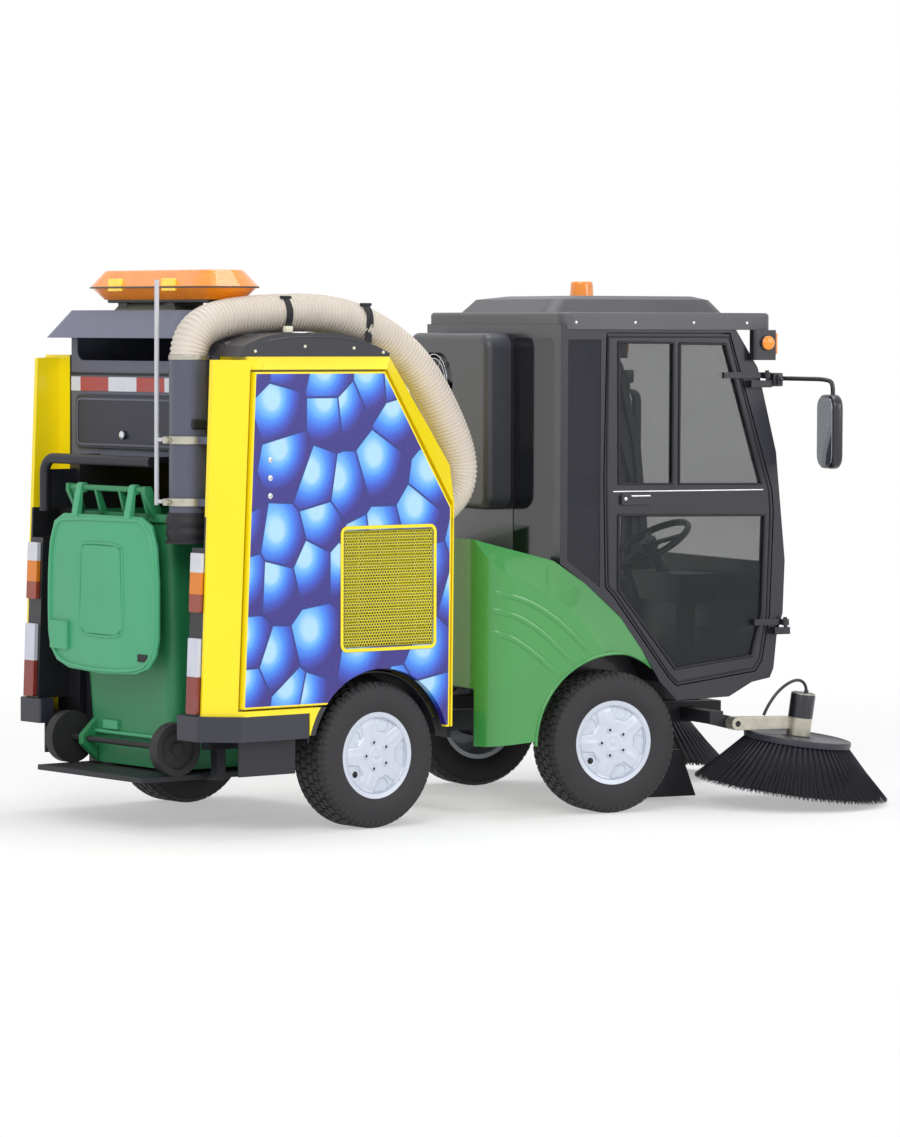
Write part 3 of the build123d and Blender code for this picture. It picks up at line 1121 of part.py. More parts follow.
# Lamps: turn lamps under the roof's front corners and headlamps low on the front
with BuildPart() as front_lamps:
    for side in (-1, 1):
        with BuildSketch(Plane.XY.offset(1766)):
            with Locations((1926, side * 622)):
                RectangleRounded(104, 45, 12)
        extrude(amount=SKIRT_Z - 1766)
        with BuildSketch(side_plane(side * 644)):
            with Locations((1934, 1834)):
                Circle(30)
        extrude(amount=-side * 10)
        with BuildSketch(Plane.YZ.offset(2010)):
            with Locations((side * 420, 820)):
                RectangleRounded(150, 100, 20)
        extrude(amount=56)
    with BuildSketch(side_plane(-CAB_HALF)):
        Polygon(*CAB_PROFILE, align=None)
    extrude(amount=-2 * CAB_HALF, mode=Mode.SUBTRACT)
write("front_lamps", front_lamps, True)

with BuildPart() as roof_beacon:
    with BuildSketch(Plane.XY.offset(DOME[-1][0])):
        with Locations((1442, 0)):
            Circle(48)
    extrude(amount=60, taper=4)
    fillet(roof_beacon.faces().sort_by(Axis.Z)[-1].edges(), 10)
write("roof_beacon", roof_beacon, True)

# Mirrors: a foot on the upper hinge bracket, a bent arm and the head
with BuildPart() as mirrors:
    for side in (-1, 1):
        with BuildSketch(Plane.XY.offset(1660)):
            with Locations((1985, side * 625)):
                RectangleRounded(50, 42, 6)
        extrude(amount=58)
        with BuildLine() as mirror_arm:
            FilletPolyline((1996, side * 636, 1694), (2109, side * 830, 1684), (2112, side * 850, 1600), radius=18)
        with BuildSketch(Plane(origin=mirror_arm.line @ 0, z_dir=mirror_arm.line % 0)):
            Circle(9)
        sweep()
        with BuildSketch(Plane.YZ.offset(2075)):
            with Locations((side * 850, 1487)):
                RectangleRounded(190, 300, 45)
        extrude(amount=50, taper=8)
write("mirrors", mirrors, True)

# Driver's place: seat, dashboard on its post, steering wheel
SEAT_X = (1180, 1620)
SEAT_HALF = 225.0
FLOOR_TOP_Z = CAB_FLOOR_Z + CAB_WALL
CUSHION_Z = (790, 890)
with BuildPart() as seat_base:
    with BuildSketch(Plane.XY.offset(FLOOR_TOP_Z)):
        with Locations((1400, 0)):
            Rectangle(360, 340)
    with BuildSketch(Plane.XY.offset(CUSHION_Z[0])):
        with Locations((1410, 0)):
            Rectangle(320, 380)
    loft()
write("seat_base", seat_base, True)

with BuildPart() as seat_cushion:
    with BuildSketch(Plane.XY.offset(CUSHION_Z[0])):
        with Locations((sum(SEAT_X) / 2, 0)):
            RectangleRounded(SEAT_X[1] - SEAT_X[0], 2 * SEAT_HALF, 50)
    extrude(amount=CUSHION_Z[1] - CUSHION_Z[0])
    fillet(seat_cushion.edges().group_by(Axis.Z)[-1], 30)
write("seat_cushion", seat_cushion, True)

with BuildPart() as seat_back:
    back_plane = Plane(origin=(1215, 0, CUSHION_Z[1] + SEAT_GAP + 6), x_dir=(0, 1, 0), z_dir=(-0.17, 0, 0.985))
    with BuildSketch(back_plane):
        RectangleRounded(2 * SEAT_HALF - 20, 90, 30)
    extrude(amount=560, taper=2)
    fillet(seat_back.faces().sort_by(Axis.Z)[-1].edges(), 20)
    with BuildSketch(Plane.XY.offset(CUSHION_Z[1])):
        with Locations((1215, 0)):
            Rectangle(60, 300)
    extrude(amount=20)
write("seat_back", seat_back, True)

COLUMN_FOOT = (1845, 0, 860)
COLUMN_DIR = (-0.5, 0, 0.866)
with BuildPart() as dashboard:
    with BuildSketch(Plane.XY.offset(CAB_FLOOR_Z)):
        with Locations((1885, 0)):
            Rectangle(90, 160)
    extrude(amount=780 - CAB_FLOOR_Z)
    with BuildSketch(Plane.XY.offset(780)):
        with Locations((1890, 0)):
            RectangleRounded(150, 400, 30)
    with BuildSketch(Plane.XY.offset(900)):
        with Locations((1880, 0)):
            RectangleRounded(190, 460, 30)
    loft()
    with BuildSketch(Plane(origin=COLUMN_FOOT, x_dir=(0, 1, 0), z_dir=COLUMN_DIR)):
        Circle(26)
    extrude(amount=150)
    with BuildSketch(Plane(origin=COLUMN_FOOT, x_dir=(0, 1, 0), z_dir=COLUMN_DIR).offset(150)):
        Circle(12)
    extrude(amount=50)
    # Its foot follows the sloping floor
    with BuildSketch(side_plane(-300)):
        Polygon(*CAB_PROFILE, align=None)
        offset(amount=-CAB_WALL - SEAT_GAP, kind=Kind.INTERSECTION, mode=Mode.REPLACE)
    extrude(amount=-600, mode=Mode.INTERSECT)
write("dashboard", dashboard, True)

with BuildPart() as steering_wheel:
    wheel_plane = Plane(origin=COLUMN_FOOT, x_dir=(0, 1, 0), z_dir=COLUMN_DIR).offset(176)
    with BuildSketch(wheel_plane.offset(-20)):
        Circle(36)
    extrude(amount=40)
    with BuildSketch(wheel_plane.offset(-6)):
        with PolarLocations(90, 3, start_angle=90):
            Rectangle(170, 28)
    extrude(amount=10)
    with Locations(wheel_plane):
        Torus(175, 14)
    with BuildSketch(wheel_plane.offset(-25)):
        Circle(12 + RUNNING_GAP)
    extrude(amount=50, mode=Mode.SUBTRACT)
write("steering_wheel", steering_wheel, True)

# Suction nozzle under the front frame, open below, hung from the rails
NOZZLE_X = (1560, 1800)
NOZZLE_HALF = 325.0
NOZZLE_Z = (15, 200)
NOZZLE_WALL = 8.0
with BuildPart() as suction_nozzle:
    for inset, mode in ((0, Mode.ADD), (NOZZLE_WALL, Mode.SUBTRACT)):
        for z, rear, front, half in ((NOZZLE_Z[0], NOZZLE_X[0], NOZZLE_X[1], NOZZLE_HALF),
                                     (NOZZLE_Z[1] - inset, NOZZLE_X[0] + 40, NOZZLE_X[1] - 60, NOZZLE_HALF - 20)):
            with BuildSketch(Plane.XY.offset(z)):
                with Locations(((rear + front) / 2, 0)):
                    Rectangle(front - rear - 2 * inset, 2 * (half - inset))
        loft(mode=mode)
    for side in (-1, 1):
        with BuildSketch(Plane.XY.offset(NOZZLE_Z[1] - 20)):
            with Locations((1670, side * (NOZZLE_HALF - 30))):
                Rectangle(60, 20)
        extrude(amount=RAIL_BOTTOM_Z - SEAT_GAP - NOZZLE_Z[1] + 20)
write("suction_nozzle", suction_nozzle, True)

# Side brushes: arm with the motor, and the brush on the motor's shaft
BRUSH_X = 2075.0
BRUSH_Y = 660.0
BRUSH_PLATE_Z = 262.0
BRUSH_LEAN = (0.1045, -0.0698, 0.992)
PLATE_RADIUS = 215.0
TIP_RADIUS = 390.0
TIP_DEPTH = 205.0
SHAFT_RADIUS = 14.0
MOTOR_RADIUS = 48.0
ARM_Y = (606, 668)
brush_plane = Plane(origin=(BRUSH_X, -BRUSH_Y, BRUSH_PLATE_Z), x_dir=(0.9945, 0, -0.1048), z_dir=BRUSH_LEAN)

with BuildPart() as brush_arm_right:
    with BuildSketch(side_plane(-ARM_Y[0])):
        with Locations((BRUSH_PIVOT_X, BRUSH_PIVOT_Z)):
            Circle(PIN_BRUSH_RADIUS + 14)
        Polygon((BRUSH_PIVOT_X, BRUSH_PIVOT_Z - 26), (BRUSH_PIVOT_X, BRUSH_PIVOT_Z + 26), (BRUSH_X - 20, BRUSH_PIVOT_Z + 20),
                (BRUSH_X - 20, BRUSH_PIVOT_Z - 26), align=None)
    extrude(amount=ARM_Y[1] - ARM_Y[0])
    with BuildSketch(brush_plane.offset(14)):
        Circle(MOTOR_RADIUS)
    extrude(amount=170)
    with BuildSketch(brush_plane.offset(-12)):
        Circle(SHAFT_RADIUS)
    extrude(amount=30)
    with BuildSketch(side_plane(-ARM_Y[0] + 1)):
        with Locations((BRUSH_PIVOT_X, BRUSH_PIVOT_Z)):
            Circle(PIN_BRUSH_RADIUS + RUNNING_GAP)
    extrude(amount=ARM_Y[1] - ARM_Y[0] + 2, mode=Mode.SUBTRACT)
write("brush_arm_right", brush_arm_right, True)
brush_arm_left = mirrored(brush_arm_right)
write("brush_arm_left", brush_arm_left, True)

with BuildPart() as brush_right:
    with BuildSketch(Plane(origin=brush_plane.origin, x_dir=brush_plane.x_dir, z_dir=-brush_plane.y_dir)):
        Polygon((SHAFT_RADIUS + RUNNING_GAP, 8), (PLATE_RADIUS, 8), (PLATE_RADIUS, -8), (TIP_RADIUS, -TIP_DEPTH),
                (TIP_RADIUS - 40, -TIP_DEPTH), (PLATE_RADIUS - 50, -14), (SHAFT_RADIUS + RUNNING_GAP, -14), align=None)
    revolve(axis=Axis(brush_plane.origin, brush_plane.z_dir))
write("brush_right", brush_right, True)
brush_left = mirrored(brush_right)
write("brush_left", brush_left, True)
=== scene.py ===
"""Looks of a compact articulated vacuum sweeper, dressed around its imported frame.

Metres, +Z up. Both modules are laid out straight ahead about the ground point under the rear axle, as the
frame's own source is, and every new piece is then put into the frame's place by its module's matrix.
"""

import json
import logging
import math
import random
from collections.abc import Callable, Iterable, Sequence
from dataclasses import dataclass
from enum import Enum

import bpy
from mathutils import Matrix, Vector

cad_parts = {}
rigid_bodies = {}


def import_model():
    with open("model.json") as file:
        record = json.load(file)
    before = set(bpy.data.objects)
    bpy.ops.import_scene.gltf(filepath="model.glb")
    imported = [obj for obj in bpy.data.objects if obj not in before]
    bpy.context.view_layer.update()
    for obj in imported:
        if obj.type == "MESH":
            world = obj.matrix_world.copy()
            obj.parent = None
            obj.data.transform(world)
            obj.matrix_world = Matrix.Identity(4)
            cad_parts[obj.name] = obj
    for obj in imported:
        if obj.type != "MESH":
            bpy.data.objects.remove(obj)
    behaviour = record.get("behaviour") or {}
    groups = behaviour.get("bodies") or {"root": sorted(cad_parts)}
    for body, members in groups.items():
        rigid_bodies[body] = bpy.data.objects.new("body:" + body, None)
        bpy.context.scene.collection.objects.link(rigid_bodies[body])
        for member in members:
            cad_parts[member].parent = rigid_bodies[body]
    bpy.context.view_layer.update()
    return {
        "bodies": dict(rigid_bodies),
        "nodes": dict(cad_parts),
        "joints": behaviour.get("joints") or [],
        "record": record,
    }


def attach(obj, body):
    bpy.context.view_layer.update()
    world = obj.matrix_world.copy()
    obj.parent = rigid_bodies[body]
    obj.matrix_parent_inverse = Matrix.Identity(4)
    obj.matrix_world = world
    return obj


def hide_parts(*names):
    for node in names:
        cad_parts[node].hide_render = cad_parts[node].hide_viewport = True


log = logging.getLogger("sweeper")

Colour = tuple[float, float, float]
Point = tuple[float, float, float]
Pair = tuple[float, float]
Thing = bpy.types.Object

# Sizes that several sub-assemblies share, the same as in the frame
PIVOT_X = 0.580
PARKED_ANGLE = math.radians(-13.2)
WHEELBASE = 1.239
WHEEL_Y = 0.592
TYRE_RADIUS = 0.277
TYRE_WIDTH = 0.195
BODY_HALF = 0.700
CAB_HALF = 0.600
SIDES = (-1, 1)


class Module(Enum):
    """The two halves of the vehicle that the pivot joins."""

    REAR = "rear"
    FRONT = "front"


def linear(colour: Colour) -> tuple[float, float, float, float]:
    """Turn a display colour into linear light.

    Args:
        colour: red, green and blue from 0 to 255.

    Returns:
        Red, green, blue and alpha from 0 to 1.
    """
    shares = [value / 255 for value in colour]
    light = [s / 12.92 if s <= 0.04045 else ((s + 0.055) / 1.055) ** 2.4 for s in shares]
    return (light[0], light[1], light[2], 1.0)


def shaded(colour: Colour, share: float) -> Colour:
    """Scale a display colour, kept inside 0 to 255."""
    return tuple(max(0.0, min(255.0, value * share)) for value in colour)


class Wire:
    """A node's output that takes part in Python arithmetic."""

    def __init__(self, shader: "Shader", socket: bpy.types.NodeSocket) -> None:
        """Keep the socket with the shader that it belongs to."""
        self.shader = shader
        self.socket = socket

    def maths(self, operation: str, *others: "Wire | float", swapped: bool = False) -> "Wire":
        """Add one Math node.

        Args:
            operation: the Math node's operation.
            others: what else it works on.
            swapped: True puts this wire last.

        Returns:
            The node's result.
        """
        values = [self, *others]
        if swapped:
            values.reverse()
        return self.shader.node("ShaderNodeMath", {"operation": operation}, dict(enumerate(values)))

    def __add__(self, other: "Wire | float") -> "Wire":
        """Sum."""
        return self.maths("ADD", other)

    __radd__ = __add__

    def __sub__(self, other: "Wire | float") -> "Wire":
        """Difference."""
        return self.maths("SUBTRACT", other)

    def __rsub__(self, other: "Wire | float") -> "Wire":
        """Difference from a number."""
        return self.maths("SUBTRACT", other, swapped=True)

    def __mul__(self, other: "Wire | float") -> "Wire":
        """Product."""
        return self.maths("MULTIPLY", other)

    __rmul__ = __mul__

    def __truediv__(self, other: "Wire | float") -> "Wire":
        """Quotient."""
        return self.maths("DIVIDE", other)

    def __gt__(self, other: "Wire | float") -> "Wire":
        """One where this is greater."""
        return self.maths("GREATER_THAN", other)

    def __lt__(self, other: "Wire | float") -> "Wire":
        """One where this is less."""
        return self.maths("LESS_THAN", other)

    def ramp(self, low: float, high: float) -> "Wire":
        """Ease from 0 at low to 1 at high."""
        settings = {"interpolation_type": "SMOOTHSTEP"}
        return self.shader.node("ShaderNodeMapRange", settings, {0: self, 1: low, 2: high})

    def between(self, low: float, high: float) -> "Wire":
        """One between two values, zero outside them."""
        return (self > low) * (self < high)


class Shader:
    """One material and the nodes behind its surface."""

    def __init__(self, name: str) -> None:
        """Make an empty node material that holds one Principled surface.

        Args:
            name: the material's name.
        """
        self.material = bpy.data.materials.new(name)
        self.material.use_nodes = True
        self.tree = self.material.node_tree
        self.surface = self.tree.nodes["Principled BSDF"]

    def node(self, kind: str, settings: dict | None = None, sockets: dict | None = None, output: int = 0) -> Wire:
        """Add any node.

        Args:
            kind: the node's type.
            settings: its settings, set first; "stops" gives a colour ramp's places and colours.
            sockets: values or wires of its inputs, by name or number.
            output: the number of the output that is wanted.

        Returns:
            That output.
        """
        made = self.tree.nodes.new(kind)
        for key, value in (settings or {}).items():
            if key == "stops":
                self.stops(made.color_ramp, value)
            else:
                setattr(made, key, value)
        for key, value in (sockets or {}).items():
            self.plug(made.inputs[key], value)
        return Wire(self, made.outputs[output])

    @staticmethod
    def stops(ramp: bpy.types.ColorRamp, stops: Sequence[tuple[float, Colour]]) -> None:
        """Give a colour ramp its stops.

        Args:
            ramp: the node's ramp.
            stops: each stop's place and display colour.
        """
        while len(ramp.elements) < len(stops):
            ramp.elements.new(1.0)
        for element, (place, colour) in zip(ramp.elements, stops):
            element.position = place
            element.color = linear(colour)

    def plug(self, socket: bpy.types.NodeSocket, value: "Wire | float | Sequence[float]") -> None:
        """Link a wire to a socket, or set the socket's own value.

        Args:
            socket: the input.
            value: a wire, a number or a vector.
        """
        if isinstance(value, Wire):
            self.tree.links.new(value.socket, socket)
        else:
            socket.default_value = value

    def place(self, module: Module = Module.REAR, kit: "Kit | None" = None) -> Wire:
        """Args:
            module: whose layout is wanted.
            kit: what knows where the modules stand; without it nothing is taken back.

        Returns:
            The coordinates.
        """
        spot = self.node("ShaderNodeTexCoord", output=3)
        if kit is None:
            return spot
        shift = kit.places[module].translation
        moved = self.vector("SUBTRACT", spot, tuple(shift))
        if module is Module.REAR:
            return moved
        turn = {"rotation_type": "Z_AXIS"}
        return self.node("ShaderNodeVectorRotate", turn, {"Vector": moved, "Angle": -PARKED_ANGLE})

    def axes(self, spot: Wire) -> tuple[Wire, Wire, Wire]:
        """A vector's three parts."""
        split = self.node("ShaderNodeSeparateXYZ", sockets={0: spot}).socket.node
        return tuple(Wire(self, split.outputs[index]) for index in range(3))

    def vector(self, operation: str, *values: "Wire | Sequence[float]", output: int = 0) -> Wire:
        """Add one Vector Math node."""
        return self.node("ShaderNodeVectorMath", {"operation": operation}, dict(enumerate(values)), output)

    def noise(self, spot: Wire, size: float, detail: float = 2.0) -> Wire:
        """Noise whose patches are about size across."""
        return self.node("ShaderNodeTexNoise", sockets={"Vector": spot, "Scale": 1 / size, "Detail": detail})

    def mix(self, factor: "Wire | float", first: "Wire | Colour", second: "Wire | Colour") -> Wire:
        """Blend two colours, given as wires or as display colours."""
        ends = [end if isinstance(end, Wire) else linear(end) for end in (first, second)]
        return self.node("ShaderNodeMix", {"data_type": "RGBA"}, {0: factor, 6: ends[0], 7: ends[1]}, 2)

    def relief(self, height: Wire, depth: float, edge: float = 0.003) -> Wire:
        """A bump over edges that are rounded a little.

        Args:
            height: what rises and falls.
            depth: how far it does.
            edge: how wide the edges look rounded.

        Returns:
            The normal.
        """
        rounded = self.node("ShaderNodeBevel", {"samples": 4}, {"Radius": edge})
        sockets = {"Strength": 1.0, "Distance": depth, "Height": height, "Normal": rounded}
        return self.node("ShaderNodeBump", sockets=sockets)

    def finish(self, **sockets: "Wire | float | Sequence[float]") -> bpy.types.Material:
        """Set the surface's sockets.

        Args:
            sockets: values or wires by socket name, written with _ for a space.

        Returns:
            The material.
        """
        for key, value in sockets.items():
            self.plug(self.surface.inputs[key.replace("_", " ")], value)
        return self.material


@dataclass(frozen=True)
class Coating:
    """Sprayed, moulded or bare stuff: drifting colour, fine grain, and dust on what faces up."""

    name: str
    colour: Colour
    rough: float = 0.45
    metal: float = 0.0
    coat: float = 0.0
    drift: float = 0.08
    patch: float = 0.35
    grain: float = 0.0002
    pitch: float = 0.003
    dust: float = 0.10
    dust_colour: Colour = (150, 145, 140)
    edge: float = 0.003

    def make(self) -> bpy.types.Material:
        """Build the material.

        Returns:
            The material.
        """
        shader = Shader(self.name)
        spot = shader.place()
        patches = shader.noise(spot, self.patch, 4.0)
        fine = shader.noise(spot, self.pitch)
        tint = shader.mix(patches, shaded(self.colour, 1 - self.drift), shaded(self.colour, 1 + self.drift))
        _, _, up = shader.axes(shader.node("ShaderNodeNewGeometry", output=1))
        lying = up.ramp(0.35, 1.0) * patches.ramp(0.3, 0.7) * self.dust
        return shader.finish(
            Base_Color=shader.mix(lying, tint, self.dust_colour),
            Roughness=(self.rough - 0.06) + 0.12 * patches + 0.3 * lying,
            Metallic=self.metal,
            Coat_Weight=self.coat,
            Coat_Roughness=0.06,
            Normal=shader.relief(fine, self.grain, self.edge),
        )


@dataclass(frozen=True)
class Pane:
    """Smoked safety glass with a light film of dust; made more opaque in the cab's rear corners than in its
    windscreen, as painted shade of the cab's dark inside.
    """

    name: str
    colour: Colour
    rear_cover: float
    front_cover: float
    change: Pair = (1.55, 1.65)

    def make(self, kit: "Kit") -> bpy.types.Material:
        """Build the material.

        Args:
            kit: what knows where the modules stand.

        Returns:
            The material.
        """
        shader = Shader(self.name)
        film = shader.noise(shader.place(), 0.22, 5.0)
        ahead, _, _ = shader.axes(shader.place(Module.FRONT, kit))
        # cover: opacity; where the rear corners get more of it than the windscreen, the extra is painted shade of the
        # cab's inside
        cover = self.rear_cover + (self.front_cover - self.rear_cover) * ahead.ramp(*self.change)
        return shader.finish(
            Base_Color=shader.mix(film, self.colour, shaded(self.colour, 1.3)),
            Roughness=0.03 + 0.05 * film,
            Alpha=(cover - 0.03) + 0.06 * film,
            IOR=1.5,
        )


@dataclass(frozen=True)
class Lens:
    """Clear or tinted plastic lens, ribbed inside by fine upright flutes."""

    name: str
    colour: Colour
    glow: float = 0.12
    flute: float = 0.012

    def make(self) -> bpy.types.Material:
        """Build the material.

        Returns:
            The material.
        """
        shader = Shader(self.name)
        spot = shader.place()
        across, along, _ = shader.axes(spot)
        flutes = ((across + along) * (2 * math.pi / self.flute)).maths("SINE")
        depth = shader.noise(spot, 0.05, 3.0)
        tint = shader.mix(depth.ramp(0.2, 0.8), shaded(self.colour, 0.95), shaded(self.colour, 1.05))
        return shader.finish(
            Base_Color=tint,
            Emission_Color=tint,
            Emission_Strength=self.glow,
            Roughness=0.12 + 0.08 * depth,
            Coat_Weight=0.8,
            Normal=shader.relief(flutes, 0.0006),
        )


@dataclass(frozen=True)
class Bands:
    """A strip whose colour changes at given heights or places along one axis."""

    name: str
    axis: int
    rows: tuple[tuple[float, Colour], ...]
    rough: float = 0.3

    def make(self, kit: "Kit") -> bpy.types.Material:
        """Build the material, in which each row gives where its colour starts.

        Args:
            kit: what knows where the modules stand.

        Returns:
            The material.
        """
        shader = Shader(self.name)
        spot = shader.place(Module.REAR, kit)
        along = shader.axes(spot)[self.axis]
        grain = shader.noise(spot, 0.004)
        tint: Wire | Colour = self.rows[0][1]
        for start, colour in self.rows[1:]:
            tint = shader.mix(along > start, tint, colour)
        worn = shader.mix(shader.noise(spot, 0.08, 5.0).ramp(0.45, 0.9) * 0.25, tint, (120, 118, 120))
        return shader.finish(
            Base_Color=worn, Roughness=self.rough + 0.1 * grain, Coat_Weight=0.3, Normal=shader.relief(grain, 0.0002)
        )


@dataclass(frozen=True)
class PanelPrintAndShade:
    """Yellow side panel with a field of printed, shaded blue cells in a layout of its own, and painted shade behind
    the grille plate.
    """

    name: str
    cell: float = 0.178
    light: Colour = (172, 216, 255)
    pale: Colour = (112, 184, 252)
    middle: Colour = (62, 136, 240)
    deep: Colour = (50, 82, 200)
    dark: Colour = (46, 34, 130)
    seam: Colour = (28, 40, 124)
    yellow: Colour = (255, 228, 0)
    # behind: painted shade, the dim yellow seen through the grille plate's perforations
    behind: Colour = (74, 70, 40)
    border: float = 0.007
    top: float = 1.724
    foot: float = 0.371
    grille: tuple[float, float, float, float] = (-0.180, 0.247, 0.690, 1.131)
    # The slope's direction and reach, how the two ends lean and where they stand, and the sill's start, fall and step
    slope: tuple[float, float, float] = (0.8481, 0.5299, 0.9263)
    front: Pair = (0.00957, 0.330)
    rear: Pair = (0.0411, -0.594)
    sill: tuple[float, float, float] = (0.427, 0.28, 0.483)

    def make(self, kit: "Kit") -> bpy.types.Material:
        """Build the material.

        Args:
            kit: what knows where the modules stand.

        Returns:
            The material.
        """
        shader = Shader(self.name)
        spot = shader.place(Module.REAR, kit)
        along, _, up = shader.axes(spot)
        flat = shader.node("ShaderNodeCombineXYZ", sockets={0: along / self.cell, 1: up / (1.16 * self.cell)})
        cells = {"voronoi_dimensions": "2D", "feature": "F1"}
        sockets = {"Vector": flat, "Scale": 1.0, "Randomness": 0.82}
        seed = shader.node("ShaderNodeTexVoronoi", cells, sockets, 2)
        rim = shader.node("ShaderNodeTexVoronoi", {**cells, "feature": "DISTANCE_TO_EDGE"}, sockets)
        local = shader.vector("SUBTRACT", flat, seed)
        right, top, _ = shader.axes(local)
        lit = shader.vector("LENGTH", shader.vector("SUBTRACT", local, (-0.16, 0.20, 0.0)), output=1)
        away = (lit * 1.15 + (right - top) * 0.30).ramp(-0.05, 1.05)
        stops = [
            (0.03, self.light), (0.13, self.pale), (0.36, self.middle), (0.66, self.deep), (0.95, self.dark),
        ]
        cell = shader.node("ShaderNodeValToRGB", {"stops": stops}, {0: away})
        fill = shader.mix(rim.ramp(0.030, 0.010), cell, self.seam)
        ahead, rise, reach = self.slope
        inside = up < self.top - self.border
        inside = inside * ((along * ahead + up * rise) < reach - self.border)
        lean, edge = self.front
        inside = inside * ((along - (up - self.foot) * lean) < edge - self.border)
        lean, edge = self.rear
        inside = inside * ((along + (self.top - up) * lean) > self.border + edge)
        start, fall, step = self.sill
        sill = (start - along * fall).maths("MINIMUM", step).maths("MAXIMUM", self.foot)
        inside = inside * (up - sill > self.border)
        paint = shader.mix(inside, self.yellow, fill)
        left, right_end, low, high = self.grille
        # hole: the grille's area, which gets the painted shade that shows through the grille plate's perforations
        hole = along.between(left, right_end) * up.between(low, high)
        grain = shader.noise(spot, 0.003)
        return shader.finish(
            Base_Color=shader.mix(hole, paint, self.behind),
            Roughness=0.24 + 0.08 * grain,
            Coat_Weight=0.35,
            Coat_Roughness=0.05,
            Normal=shader.relief(grain, 0.0001),
        )


@dataclass(frozen=True)
class BodyPaintAndShade:
    """Yellow paint outside, and near-black painted shade in the bin bay, in the recesses behind the tail lamps and in
    the wheel arches.

    Behind the bay's first number, the painted shade covers all that lies inside its second, and also all that lies
    inside the strip's first and below its second.
    """

    name: str
    colour: Colour = (255, 228, 0)
    # dark: the near-black of the painted shade in the bin bay, the tail lamps' recesses and the wheel arches
    dark: Colour = (24, 24, 30)
    bay: Pair = (-0.070, 0.4915)
    strip: Pair = (0.574, 1.19)
    arch: float = 0.348

    def make(self, kit: "Kit") -> bpy.types.Material:
        """Build the material.

        Args:
            kit: what knows where the modules stand.

        Returns:
            The material.
        """
        shader = Shader(self.name)
        spot = shader.place(Module.REAR, kit)
        along, across, up = shader.axes(spot)
        aside = across.maths("ABSOLUTE")
        strip = (aside < self.strip[0]) * (up < self.strip[1])
        bay = (along < self.bay[0]) * (aside < self.bay[1]).maths("MAXIMUM", strip)
        rise = up - TYRE_RADIUS
        arch = (along * along + rise * rise) < self.arch * self.arch
        patches = shader.noise(spot, 0.4, 4.0)
        paint = shader.mix(patches, shaded(self.colour, 0.975), shaded(self.colour, 1.02))
        # black: where the painted shade of the bay, the lamp recesses and the arches goes; it is also made rougher
        black = bay.maths("MAXIMUM", arch)
        return shader.finish(
            Base_Color=shader.mix(black, paint, self.dark),
            Roughness=0.26 + 0.08 * patches + 0.2 * black,
            Coat_Weight=0.4,
            Coat_Roughness=0.06,
            Normal=shader.relief(shader.noise(spot, 0.003), 0.0001),
        )


